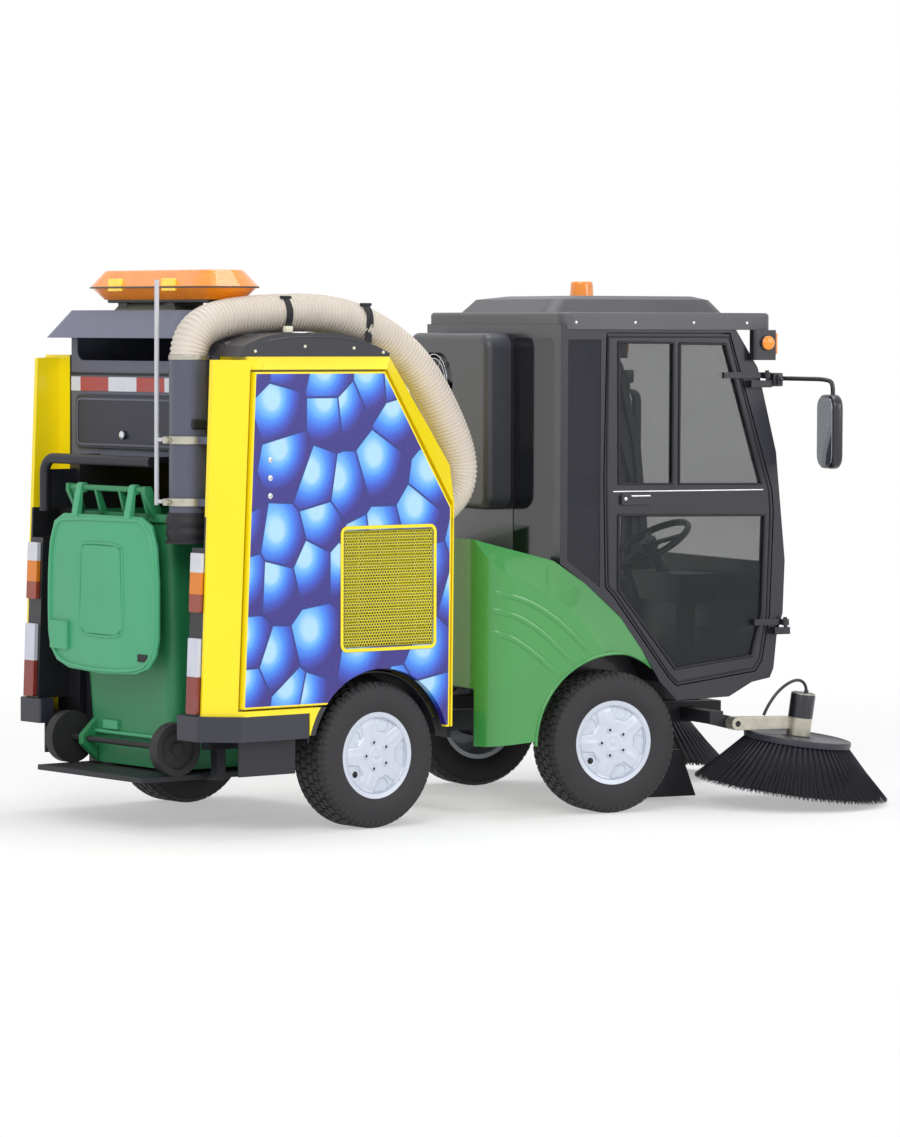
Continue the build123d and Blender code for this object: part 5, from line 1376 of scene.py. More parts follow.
    def height(self, radius: float, angle: float) -> float:
        """How far the cover's face stands out from the wheel's middle plane.

        Args:
            radius: how far the place is from the wheel's middle.
            angle: the place's angle round it.

        Returns:
            The distance.
        """
        base = 0.0815 - 3.6 * max(0.0, radius - 0.112) ** 2
        off = abs((math.degrees(angle) + 36) % 72 - 36)
        width = self.lobe_degrees + 6 * (radius - 0.118) / 0.03
        inner = smooth_step(*self.pocket_from, radius) * (1 - smooth_step(*self.pocket_to, radius))
        pocket = inner * (1 - smooth_step(width - 3, width + 3, off))
        crease = 0.0018 * math.exp(-(((off - 36) / 6) ** 2)) * smooth_step(0.05, 0.09, radius)
        ring = 0.0012 * math.exp(-(((radius - 0.030) / 0.004) ** 2))
        rim = 0.004 * math.exp(-(((radius - 0.143) / 0.003) ** 2))
        return base - self.pocket_depth * pocket + crease + ring + rim


def smooth_step(low: float, high: float, value: float) -> float:
    """Ease from 0 at low to 1 at high.

    Args:
        low: where the ease starts.
        high: where it ends.
        value: the place in between.

    Returns:
        The eased share.
    """
    share = max(0.0, min(1.0, (value - low) / (high - low)))
    return share * share * (3 - 2 * share)


@dataclass
class SuctionLine:
    """The ribbed hose over the shoulder, its clamp and straps, and the bands and bellows of the duct."""

    kit: Kit
    duct: Pair = (-0.680, -0.406)
    skew: float = 0.106
    route: tuple[Pair, ...] = (
        (0.0, 1.776), (0.0, 1.838), (0.080, 1.912), (0.300, 1.942), (0.630, 1.946), (0.860, 1.855), (1.020, 1.720),
        (1.160, 1.480), (1.200, 1.335), (1.150, 1.222), (1.030, 1.160),
    )
    radius: float = 0.0705
    rib: float = 0.0145
    rib_height: float = 0.0022
    clamp_section: tuple[Pair, ...] = ((0.0735, -0.010), (0.0765, -0.008), (0.0765, 0.008), (0.0735, 0.010))
    band_z: Pair = (1.240, 1.470)
    band_section: tuple[Pair, ...] = ((0.0795, -0.015), (0.0812, -0.014), (0.0812, 0.014), (0.0795, 0.015))
    bellows_section: tuple[Pair, ...] = (
        (0.070, 1.086), (0.090, 1.086), (0.090, 1.094), (0.081, 1.097), (0.081, 1.108), (0.086, 1.118),
        (0.086, 1.134), (0.081, 1.142), (0.081, 1.148), (0.086, 1.156), (0.086, 1.172), (0.081, 1.180),
        (0.081, 1.190), (0.079, 1.200), (0.070, 1.200),
    )
    strap_places: tuple[Point, ...] = ((-0.296, 1.940, 1.862), (0.056, 1.915, 1.806))
    strap_width: float = 0.030

    def build(self) -> None:
        """Make every piece of the line."""
        self.hose()
        self.bands()
        self.bellows()
        self.straps()

    def centreline(self) -> list[Vector]:
        """Points along the hose's middle, from its own spline.

        Returns:
            The points in order.
        """
        route = [(self.duct[0] + ahead, self.duct[1] - self.skew * ahead, z) for ahead, z in self.route]
        holder = Bench.curve(route, "NURBS", 24)
        mesh = bpy.data.meshes.new_from_object(holder)
        points = [vertex.co.copy() for vertex in mesh.vertices]
        bpy.data.objects.remove(holder)
        return points

    def hose(self) -> None:
        """A straight ribbed tube, bent along the route by a Curve modifier."""
        points = self.centreline()
        length = sum((b - a).length for a, b in zip(points, points[1:]))
        count = int(length / self.rib)
        pitch = length / count
        low, high = self.radius - self.rib_height, self.radius + self.rib_height * 0.6
        section = [(low, 0.0), (low, 0.30 * pitch), (high, 0.42 * pitch), (high, 0.86 * pitch), (low, pitch)]
        Bench.free()
        bpy.ops.mesh.primitive_circle_add(vertices=36, radius=low, rotation=(0, math.pi / 2, 0))
        thing = bpy.context.object
        bpy.ops.object.transform_apply(location=True, rotation=True, scale=True)
        rest = low
        for (radius, along), (_, before) in zip(section[1:], section):
            Bench.only(thing)
            bpy.ops.object.mode_set(mode="EDIT")
            if rest == low and before == 0.0:
                bpy.ops.mesh.select_all(action="SELECT")
            bpy.ops.mesh.extrude_region_move(TRANSFORM_OT_translate={"value": (along - before, 0, 0)})
            share = radius / rest
            bpy.ops.transform.resize(value=(1, share, share), center_override=(0, 0, 0))
            bpy.ops.object.mode_set(mode="OBJECT")
            rest = radius
        Bench.rowed(thing, count, (pitch, 0, 0))
        Bench.tidy(thing)
        holder = Bench.curve(points, "POLY")
        Bench.modify(thing, "CURVE", object=holder, deform_axis="POS_X")
        bpy.data.objects.remove(holder)
        Bench.modify(thing, "SOLIDIFY", thickness=0.002, offset=-1)
        Bench.smooth(thing, 60)
        self.kit.seat(thing, "ribbed_hose", "HOSE", "rear_module", Module.REAR, ["suction_hose"])
        foot = (self.duct[0], self.duct[1], self.route[0][1])
        clamp = Bench.lathe(self.clamp_section, foot, (0, 0, 1), 48)
        self.kit.seat(clamp, "hose_clamp", "ZINC", "rear_module")

    def bands(self) -> None:
        """Zinc bands round the duct, each with its screw lug, and the mark on its side."""
        x, y = self.duct
        things = []
        for z in self.band_z:
            things.append(Bench.lathe(self.band_section, (x, y, z), (0, 0, 1), 48))
            things.append(Bench.block((x - 0.096, y + 0.010, z - 0.013), (x - 0.074, y + 0.034, z + 0.013), 0.002))
            things.append(Bench.rod((x - 0.086, y - 0.004, z), (x - 0.086, y + 0.050, z), 0.004, 10))
        self.kit.seat(Bench.join(things), "duct_bands", "ZINC", "rear_module")
        lug = Bench.block((x - 0.040, y - 0.082, 1.510), (x + 0.030, y - 0.066, 1.548), 0.010)
        self.kit.seat(lug, "duct_lug", "SEAL", "rear_module")

    def bellows(self) -> None:
        """Black bellows under the duct, with a flange at the foot."""
        thing = Bench.lathe(self.bellows_section, (*self.duct, 0.0), (0, 0, 1), 48)
        self.kit.seat(thing, "duct_bellows", "SEAL", "rear_module")

    def straps(self) -> None:
        """Two webbing straps round the hose's outer side, down to the black cover, each with an olive tab.

        Each strap's place is how far ahead it lies, the height of the hose's middle there and that of the cover.
        """
        webbing, tabs = [], []
        for strap_x, top, foot in self.strap_places:
            y = self.duct[1] - self.skew * (strap_x - self.duct[0])
            radius = self.radius + 0.004
            arc = []
            for step in range(10):
                angle = math.radians(128 + 9 * step)
                arc.append((strap_x, y + radius * math.cos(angle), top + radius * math.sin(angle)))
            low = arc[-1]
            tail = [(strap_x - 0.004, low[1] - 0.002, (low[2] + foot) / 2),
                    (strap_x - 0.010, low[1] - 0.006, foot + 0.006)]
            webbing.append(self.ribbon([*arc, *tail], self.strap_width))
            webbing.append(Bench.block((strap_x - 0.024, arc[0][1] - 0.006, arc[0][2] - 0.004),
                                       (strap_x + 0.024, arc[0][1] + 0.010, arc[0][2] + 0.008), 0.003))
            tabs.append(Bench.block((strap_x - 0.028, low[1] - 0.014, foot - 0.006),
                                    (strap_x + 0.006, low[1] + 0.004, foot + 0.022), 0.003))
        self.kit.seat(Bench.join(webbing), "hose_straps", "STRAP", "rear_module")
        self.kit.seat(Bench.join(tabs), "strap_tabs", "OLIVE", "rear_module")

    @staticmethod
    def ribbon(points: Sequence[Point], width: float) -> Thing:
        """A flat strap along points that lie across the vehicle.

        Args:
            points: its middle line, in order.
            width: its width along the vehicle.

        Returns:
            The strap.
        """
        Bench.free()
        bpy.ops.mesh.primitive_grid_add(x_subdivisions=1, y_subdivisions=len(points) - 1, size=1)
        thing = bpy.context.object
        rows = sorted({round(vertex.co.y, 4) for vertex in thing.data.vertices})
        for vertex in thing.data.vertices:
            x, y, z = points[rows.index(round(vertex.co.y, 4))]
            vertex.co = (x + width * vertex.co.x, y, z)
        Bench.modify(thing, "SOLIDIFY", thickness=0.003, offset=1)
        return Bench.smooth(Bench.tidy(thing))


@dataclass
class HopperTrim:
    """Stripe band, seams and hatch lock on the hopper's rear wall, and the fittings of cover and hood."""

    kit: Kit
    wall_x: float = -0.600
    half: float = 0.478
    stripe_z: Pair = (1.642, 1.697)
    cap_at: Point = (-0.382, -0.620, 1.848)
    cap_section: tuple[Pair, ...] = (
        (0.0, 0.045), (0.016, 0.045), (0.019, 0.040), (0.019, 0.022), (0.013, 0.020), (0.013, 0.0), (0.0, 0.0),
    )
    outer_ridge: tuple[Point, ...] = (
        (-0.600, -0.640, 1.815), (-0.480, -0.648, 1.846), (-0.300, -0.648, 1.856), (-0.120, -0.648, 1.848),
        (0.020, -0.644, 1.812), (0.075, -0.640, 1.786),
    )
    inner_ridge: tuple[Point, ...] = (
        (-0.600, -0.520, 1.822), (-0.480, -0.516, 1.852), (-0.300, -0.512, 1.863), (-0.120, -0.516, 1.853),
        (0.020, -0.520, 1.818), (0.075, -0.520, 1.790),
    )
    humps: tuple[Pair, ...] = ((-0.470, 1.850), (-0.180, 1.856))
    plugs: tuple[Pair, ...] = ((-0.560, 1.800), (-0.330, 1.818), (-0.100, 1.812), (0.040, 1.796))
    hatch_y: Pair = (-0.212, 0.422)
    hatch_z: Pair = (1.433, 1.616)
    hatch_lock: Pair = (0.105, 1.477)

    def build(self) -> None:
        """Make every piece."""
        z0, z1 = self.stripe_z
        x = self.wall_x
        stripe = Bench.block((x - 0.003, -self.half, z0), (x - 0.0003, self.half, z1), 0.0008)
        self.kit.seat(stripe, "stripe_band", "STRIPE", "rear_module")
        seam = Bench.block((x - 0.002, -self.half, z1 + 0.006), (x - 0.0002, self.half, z1 + 0.016), 0.0005)
        self.kit.seat(seam, "hopper_seam", "SEAL", "rear_module")
        self.hatch()
        cap = Bench.lathe(self.cap_section, self.cap_at, (0, 0, 1), 24, closed=False)
        self.kit.seat(cap, "filler_cap", "CREAM", "rear_module")
        self.cover()

    def cover(self) -> None:
        """A raised arch along the black cover, its seam ridges and four pale plugs."""
        ridges = [Bench.pipe(self.outer_ridge, 0.010), Bench.pipe(self.inner_ridge, 0.008)]
        humps = []
        for x, z in self.humps:
            profile = [(x - 0.060, z - 0.004), (x - 0.044, z + 0.014), (x + 0.044, z + 0.014), (x + 0.060, z - 0.006)]
            humps.append(Bench.outline([(px, -0.560, pz) for px, pz in profile], (0, 0.036, 0), 0.004))
        self.kit.seat(Bench.join([*ridges, *humps]), "cover_ridges", "BLACK", "rear_module")
        plugs = [Bench.rod((x, -0.652, z), (x, -0.659, z), 0.006, 12, 0.001) for x, z in self.plugs]
        self.kit.seat(Bench.join(plugs), "cover_plugs", "CREAM", "rear_module")

    def hatch(self) -> None:
        """The raised border on the hatch and its round lock."""
        y0, y1 = self.hatch_y
        z0, z1 = self.hatch_z
        edge = rounded_rectangle(y1 - y0, z1 - z0, 0.024, 6)
        points = [(self.wall_x - 0.0145, (y0 + y1) / 2 + y, (z0 + z1) / 2 + z) for y, z in edge]
        self.kit.seat(Bench.hoop(points, 0.009, 0.006, 0.002, 2), "hatch_border", "SLATE", "rear_module")
        section = [(0.0, 0.012), (0.010, 0.012), (0.016, 0.008), (0.016, 0.0), (0.0, 0.0)]
        lock = Bench.lathe(section, (self.wall_x - 0.020, *self.hatch_lock), (-1, 0, 0), 24, closed=False)
        self.kit.seat(lock, "hatch_lock", "CHROME", "rear_module")


@dataclass
class BeaconDetails:
    """Base, bright modules and feet of the beacon bar."""

    kit: Kit
    x: float = -0.450
    y: float = 0.013
    low_z: float = 1.992
    belt_z: float = 2.042
    half: float = 0.4465
    depth: float = 0.1425
    base_half: Pair = (0.078, 0.330)
    feet_y: Pair = (-0.070, 0.240)
    module_y: Pair = (-0.16, 0.19)

    def build(self) -> None:
        """Make every piece."""
        deep, wide = self.base_half
        base = Bench.block((self.x - deep, self.y - wide, self.low_z - 0.012),
                           (self.x + deep, self.y + wide, self.low_z + 0.006), 0.005)
        feet = [Bench.block((self.x - 0.070, self.y + y - 0.030, self.low_z - 0.038),
                            (self.x + 0.070, self.y + y + 0.030, self.low_z - 0.010), 0.004) for y in self.feet_y]
        self.kit.seat(Bench.join([base, *feet]), "beacon_base", "BASE", "rear_module")
        modules = []
        for y in self.module_y:
            modules.append(Bench.block((self.x - self.depth + 0.001, self.y + y - 0.045, self.belt_z - 0.018),
                                       (self.x - self.depth + 0.012, self.y + y + 0.045, self.belt_z + 0.030), 0.004))
        self.kit.seat(Bench.join(modules), "beacon_modules", "BRIGHT", "rear_module")
        self.kit.seat(self.belt(), "beacon_belt", "BASE", "rear_module")

    def belt(self) -> Thing:
        """The dark seam round the lens, at its widest.

        Returns:
            The seam.
        """
        straight = self.half - self.depth
        loop = []
        for end, start in ((1, 0.0), (-1, math.pi)):
            for step in range(13):
                turn = start + math.pi * step / 12
                loop.append((self.x + (self.depth + 0.001) * math.cos(turn),
                             self.y + end * straight + (self.depth + 0.001) * math.sin(turn), self.belt_z - 0.004))
        return Bench.pipe([*loop, loop[0]], 0.003, 2, "POLY")


@dataclass
class BinDetails:
    """The wheeled bin's lid, handle comb, ledge and pocket."""

    kit: Kit
    lid_x: float = -0.775
    rear_x: float = -0.805
    lid_half: float = 0.362
    lid_top: float = 1.180
    lid_foot: float = 0.580
    panel: tuple[Pair, ...] = (
        (-0.135, 1.060), (-0.150, 0.750), (-0.110, 0.722), (0.110, 0.722), (0.150, 0.750), (0.135, 1.060),
        (0.110, 1.074), (-0.110, 1.074),
    )
    panel_z: float = 0.898
    handle: Pair = (-0.761, 1.280)
    arm_y: Pair = (0.155, 0.190)
    rib_y: tuple[float, ...] = (-0.225, -0.078, 0.078, 0.225)
    rib_profile: tuple[Pair, ...] = (
        (-0.772, 1.284), (-0.750, 1.284), (-0.716, 1.196), (-0.728, 1.176), (-0.745, 1.190),
    )

    def build(self) -> None:
        """Make every piece."""
        self.comb()
        self.lid()
        self.ledge()

    def comb(self) -> None:
        """Four ribs between the handle bar and the bin's rim."""
        ribs = []
        for y in self.rib_y:
            ribs.append(Bench.outline([(x, y - 0.007, z) for x, z in self.rib_profile], (0, 0.014, 0), 0.002))
        self.kit.seat(Bench.join(ribs), "handle_comb", "BIN", "bin_lift")

    def lid(self) -> None:
        """The open lid: narrow round top, curved foot, rolled rim, sunken panel and the two arms to the handle."""
        half, top, foot = self.lid_half, self.lid_top, self.lid_foot
        left = [(0.0, foot), (0.220, foot + 0.010), (half - 0.060, foot + 0.036), (half - 0.016, foot + 0.085),
                (half, foot + 0.150), (half, top - 0.24), (half - 0.012, top - 0.110), (0.318, top - 0.030),
                (0.255, top)]
        edge = [*((-y, z) for y, z in reversed(left[1:])), *left]
        shell = Bench.outline([(self.lid_x, y, z) for y, z in edge], (0.012 + self.rear_x - self.lid_x, 0, 0))
        Bench.modify(shell, "BEVEL", width=0.006, segments=3, limit_method="ANGLE", angle_limit=math.radians(50))
        Bench.smooth(shell, 40)
        face_x = self.rear_x + 0.012
        inset = [(face_x, y * 0.955, foot + (z - foot) * 0.955 + 0.013) for y, z in [*edge, edge[0]]]
        rim = Bench.pipe(inset, 0.008, 3)
        frame = Bench.pipe([(face_x, y, z) for y, z in [*self.panel, self.panel[0]]], 0.006, 3)
        inner = [(face_x + 0.002, y * 0.93, self.panel_z + (z - self.panel_z) * 0.95) for y, z in self.panel]
        field = Bench.outline(inner, (-0.007, 0, 0), 0.004)
        tab = Bench.block((face_x - 0.014, 0.215, 0.660), (face_x + 0.004, 0.330, 0.770), 0.006)
        arms = [self.arm(side) for side in SIDES]
        whole = Bench.join([shell, rim, frame, field, tab, *arms])
        self.kit.seat(whole, "lid_shell", "LID", "lid", Module.REAR, ["bin_lid"])
        # A near-black block where the lid's foot is notched: painted shade of that cut
        notch_shade = Bench.block((face_x - 0.006, -0.300, 0.640), (face_x + 0.002, -0.240, 0.668), 0.003)
        self.kit.seat(notch_shade, "lid_notch", "SEAL", "lid")

    def arm(self, side: int) -> Thing:
        """One bent arm from the lid's top round the handle bar, with the bar's bore left open.

        Args:
            side: -1 for the right, 1 for the left.

        Returns:
            The arm.
        """
        x, z = self.handle
        y0, y1 = sorted(side * y for y in self.arm_y)
        ring = Bench.lathe([(0.0115, y0), (0.0190, y0), (0.0190, y1), (0.0115, y1)], (x, 0, z), (0, 1, 0), 24)
        profile = [(x - 0.0185, z), (x - 0.0165, z - 0.008), (x - 0.0125, z - 0.0125), (x - 0.007, z - 0.016),
                   (self.lid_x, 1.170), (self.lid_x - 0.020, 1.160), (self.lid_x - 0.026, 1.176)]
        web = Bench.outline([(px, y0, pz) for px, pz in profile], (0, y1 - y0, 0), 0.002)
        return Bench.join([web, ring])

    def ledge(self) -> None:
        """The step near the bin's foot and the pocket above it."""
        step = Bench.block((-0.672, -0.287, 0.338), (-0.650, 0.287, 0.352), 0.004)
        pocket = Bench.block((-0.674, 0.070, 0.356), (-0.655, 0.165, 0.392), 0.004)
        self.kit.seat(Bench.join([step, pocket]), "bin_ledge", "LID", "bin_lift")


@dataclass
class Wings:
    """What stands out on the green wings: three flutes and a rolled lip round the arch on each side."""

    kit: Kit
    flutes: tuple[tuple[Pair, ...], ...] = (
        ((0.700, 0.872), (0.800, 0.862), (0.930, 0.800), (1.040, 0.715), (1.136, 0.622)),
        ((0.694, 0.806), (0.780, 0.795), (0.880, 0.742), (0.970, 0.672), (1.053, 0.592)),
        ((0.686, 0.722), (0.760, 0.712), (0.840, 0.666), (0.920, 0.606), (0.988, 0.545)),
    )
    width: float = 0.013
    flat: float = 0.42
    corner: float = 0.130
    rear_x: float = 0.665
    outer_y: float = 0.700
    lip_radius: float = 0.351

    def build(self) -> None:
        """Make both sides as one piece."""
        right = Bench.join([*(self.flute(row) for row in self.flutes), self.lip()])
        left = Bench.mirrored(right)
        self.kit.seat(Bench.join([right, left]), "wing_flutes", "WING", "front_module", Module.FRONT)

    def face_y(self, x: float) -> float:
        """Where the wing's outer face lies, round its rear corner.

        Args:
            x: the place along the vehicle.

        Returns:
            The distance from the middle.
        """
        past = self.rear_x + self.corner - x
        if past <= 0:
            return self.outer_y
        return self.outer_y - self.corner + math.sqrt(max(0.0, self.corner ** 2 - past ** 2))

    def flute(self, row: Sequence[Pair]) -> Thing:
        """One flute: a smooth bar along its line, pressed flat on the face and thin at both ends.

        Args:
            row: the line's points, forward and up.

        Returns:
            The flute.
        """
        thing = Bench.pipe([(x, 0.0, z) for x, z in row], self.width, 5)
        start, end = Vector((row[0][0], row[0][1])), Vector((row[-1][0], row[-1][1]))
        for vertex in thing.data.vertices:
            spot = Vector((vertex.co.x, vertex.co.z))
            near = min((spot - start).length, (spot - end).length)
            thin = 0.25 + 0.75 * smooth_step(0.0, 0.09, near)
            vertex.co.y = vertex.co.y * self.flat * thin - self.face_y(vertex.co.x) + 0.0008
        return Bench.smooth(thing, 70)

    def lip(self) -> Thing:
        """The rolled edge of the wheel arch, from the foot at the rear up to the cab.

        Returns:
            The edge.
        """
        points = []
        for step in range(25):
            turn = math.radians(180 - 94 * step / 24)
            x = WHEELBASE + self.lip_radius * math.cos(turn)
            z = TYRE_RADIUS + self.lip_radius * math.sin(turn)
            points.append((x, -self.outer_y + 0.002, z))
        return Bench.smooth(Bench.pipe(points, 0.007, 4), 70)


@dataclass
class CabDetails:
    """Door seals and metal, fan guard and blades, lamp lenses, mirrors and roof screws of the cab."""

    kit: Kit
    panes: tuple[tuple[Pair, ...], ...] = (
        ((1.295, 1.832), (1.534, 1.829), (1.534, 1.283), (1.298, 1.286)),
        ((1.566, 1.828), (1.768, 1.825), (1.935, 1.279), (1.566, 1.283)),
        ((1.299, 1.157), (1.950, 1.148), (1.939, 0.766), (1.895, 0.596), (1.552, 0.555), (1.300, 0.868)),
    )
    door: tuple[Pair, ...] = (
        (1.244, 1.868), (1.788, 1.868), (1.981, 1.257), (1.990, 1.169), (1.975, 0.755), (1.941, 0.573),
        (1.914, 0.534), (1.561, 0.487), (1.526, 0.518), (1.279, 0.843), (1.242, 0.881), (1.233, 1.299),
    )
    fan_at: Point = (0.931, 0.305, 1.660)
    guard_radii: tuple[float, ...] = (0.030, 0.055, 0.080, 0.105, 0.122)
    guard_wire: float = 0.003
    blade_count: int = 7
    turn_lamp: Point = (1.934, 0.654, 1.834)
    turn_section: tuple[Pair, ...] = ((0.0, 0.010), (0.018, 0.009), (0.026, 0.004), (0.028, 0.0), (0.0, 0.0))
    mirror_at: Point = (2.100, 0.850, 1.487)
    mirror_toe: float = math.radians(8)
    mirror_arm: tuple[Point, ...] = (
        (1.996, 0.636, 1.694), (2.050, 0.735, 1.693), (2.100, 0.836, 1.692), (2.114, 0.856, 1.672),
        (2.112, 0.852, 1.600),
    )
    screw_x: tuple[float, ...] = (1.10, 1.36, 1.62, 1.86)

    def build(self) -> None:
        """Make every piece."""
        for side, word in ((-1, "right"), (1, "left")):
            self.seals(side, word)
        self.fan()
        self.lamps()
        self.mirrors()
        self.roof_bolts()

    def seals(self, side: int, word: str) -> None:
        """Rubber beads round the door's panes and along its outline, the slider bar and the lock.

        Args:
            side: -1 for the right, 1 for the left.
            word: that side's name.
        """
        beads = [self.bead(pane, side * (CAB_HALF + 0.001), 0.006) for pane in self.panes]
        beads.append(self.bead(self.door, side * (CAB_HALF + 0.001), 0.004, -0.012))
        self.kit.seat(Bench.join(beads), f"door_seals_{word}", "SEAL", f"door_{word}", Module.FRONT)
        y = side * (CAB_HALF + 0.014)
        lock = Bench.rod((1.320, y - side * 0.004, 1.224), (1.320, y + side * 0.003, 1.224), 0.007, 16, 0.001)
        bar = Bench.block((1.345, y - 0.003, 1.232), (1.430, y + 0.003, 1.238), 0.001)
        strip = Bench.block((1.2705, side * CAB_HALF - 0.002, 1.250), (1.945, side * CAB_HALF + 0.002, 1.255), 0.001)
        self.kit.seat(Bench.join([lock, bar, strip]), f"door_metal_{word}", "CHROME", f"door_{word}", Module.FRONT)

    @staticmethod
    def bead(outline: Sequence[Pair], y: float, radius: float, grow: float = 0.004) -> Thing:
        """A round bead that runs along an outline, at one place across the vehicle.

        Args:
            outline: the outline's points, forward and up.
            y: the place across the vehicle.
            radius: the bead's radius.
            grow: how far outside the outline it runs.

        Returns:
            The bead.
        """
        middle_x = sum(x for x, _ in outline) / len(outline)
        middle_z = sum(z for _, z in outline) / len(outline)
        points = []
        for x, z in [*outline, outline[0]]:
            away = math.hypot(x - middle_x, z - middle_z)
            share = 1 + grow / away
            points.append((middle_x + (x - middle_x) * share, y, middle_z + (z - middle_z) * share))
        return Bench.pipe(points, radius, 3, "POLY")

    def fan(self) -> None:
        """Wire guard and blades in the cooler box's opening."""
        x, y, z = self.fan_at
        rings = []
        for radius in self.guard_radii:
            outer = radius + self.guard_wire
            section = [(radius, 0.0), (outer, 0.0), (outer, self.guard_wire), (radius, self.guard_wire)]
            rings.append(Bench.lathe(section, self.fan_at, (-1, 0, 0), 40))
        bars = [Bench.rod((x - 0.001, y + 0.028 * math.cos(a), z + 0.028 * math.sin(a)),
                          (x - 0.001, y + 0.128 * math.cos(a), z + 0.128 * math.sin(a)), 0.002, 8)
                for a in (math.radians(60 * step) for step in range(6))]
        self.kit.seat(Bench.join([*rings, *bars]), "fan_guard", "CHROME", "front_module", Module.FRONT)
        blade = Bench.outline([(x + 0.030, y + 0.030, z - 0.02), (x + 0.024, y + 0.115, z - 0.035),
                               (x + 0.036, y + 0.115, z + 0.03), (x + 0.040, y + 0.030, z + 0.02)], (0.002, 0, 0))
        blades = Bench.turned(blade, self.blade_count, (x + 0.03, y, z), (1, 0, 0))
        self.kit.seat(blades, "fan_blades", "BLACK", "front_module", Module.FRONT)

    def lamps(self) -> None:
        """Amber turn lamp lenses on the lamp housings' sides and fronts."""
        lenses = []
        x, y, z = self.turn_lamp
        for side in SIDES:
            lenses.append(Bench.lathe(self.turn_section, (x, side * y, z), (0, side, 0), 28, closed=False))
            lenses.append(Bench.block((1.975, side * 0.606, 1.790), (1.984, side * 0.640, 1.874), 0.004))
        self.kit.seat(Bench.join(lenses), "turn_lenses", "AMBER", "front_module", Module.FRONT)

    def mirrors(self) -> None:
        """Mirror clamps with their knobs, bent arms and rounded heads, and the silvered glass that faces back."""
        bodies, faces = [], []
        for side in SIDES:
            head = Vector(self.mirror_at)
            head.y *= side
            points = [(2.080, head.y + y, head.z + z) for y, z in rounded_rectangle(0.175, 0.292, 0.052, 6)]
            shell = Bench.outline(points, (0.044, 0, 0), 0.014, 3)
            plate = [(2.0795, head.y + y, head.z + z) for y, z in rounded_rectangle(0.152, 0.268, 0.042, 6)]
            glass = Bench.outline(plate, (-0.002, 0, 0))
            knob = Bench.rod((2.112, head.y, head.z - 0.010), (2.124, head.y, head.z - 0.010), 0.020, 20, 0.004)
            turn = Matrix.Rotation(side * self.mirror_toe, 4, "Z")
            toe = Matrix.Translation(head) @ turn @ Matrix.Translation(-head)
            for thing in (shell, glass, knob):
                thing.data.transform(toe)
            arm = Bench.pipe([(x, side * y, z) for x, y, z in self.mirror_arm], 0.009, 4)
            clamp = Bench.block((1.962, side * 0.604, 1.662), (2.008, side * 0.646, 1.716), 0.006)
            screw = Bench.rod((1.986, side * 0.652, 1.668), (1.986, side * 0.652, 1.712), 0.013, 12, 0.003)
            bolt = Bench.rod((1.986, side * 0.630, 1.690), (1.986, side * 0.672, 1.690), 0.008, 12, 0.002)
            bodies.extend((shell, knob, arm, clamp, screw, bolt))
            faces.append(glass)
        self.kit.seat(Bench.join([Bench.smooth(body, 40) for body in bodies]), "mirror_sets", "BLACK", "front_module",
                      Module.FRONT, ["mirrors"])
        self.kit.seat(Bench.join(faces), "mirror_faces", "MIRROR", "front_module", Module.FRONT)

    def roof_bolts(self) -> None:
        """Small bright screws along the roof's skirt."""
        screws = []
        for side in SIDES:
            for x in self.screw_x:
                screws.append(Bench.rod((x, side * 0.609, 1.912), (x, side * 0.613, 1.912), 0.006, 10, 0.001))
        self.kit.seat(Bench.join(screws), "roof_screws", "CHROME", "front_module", Module.FRONT)


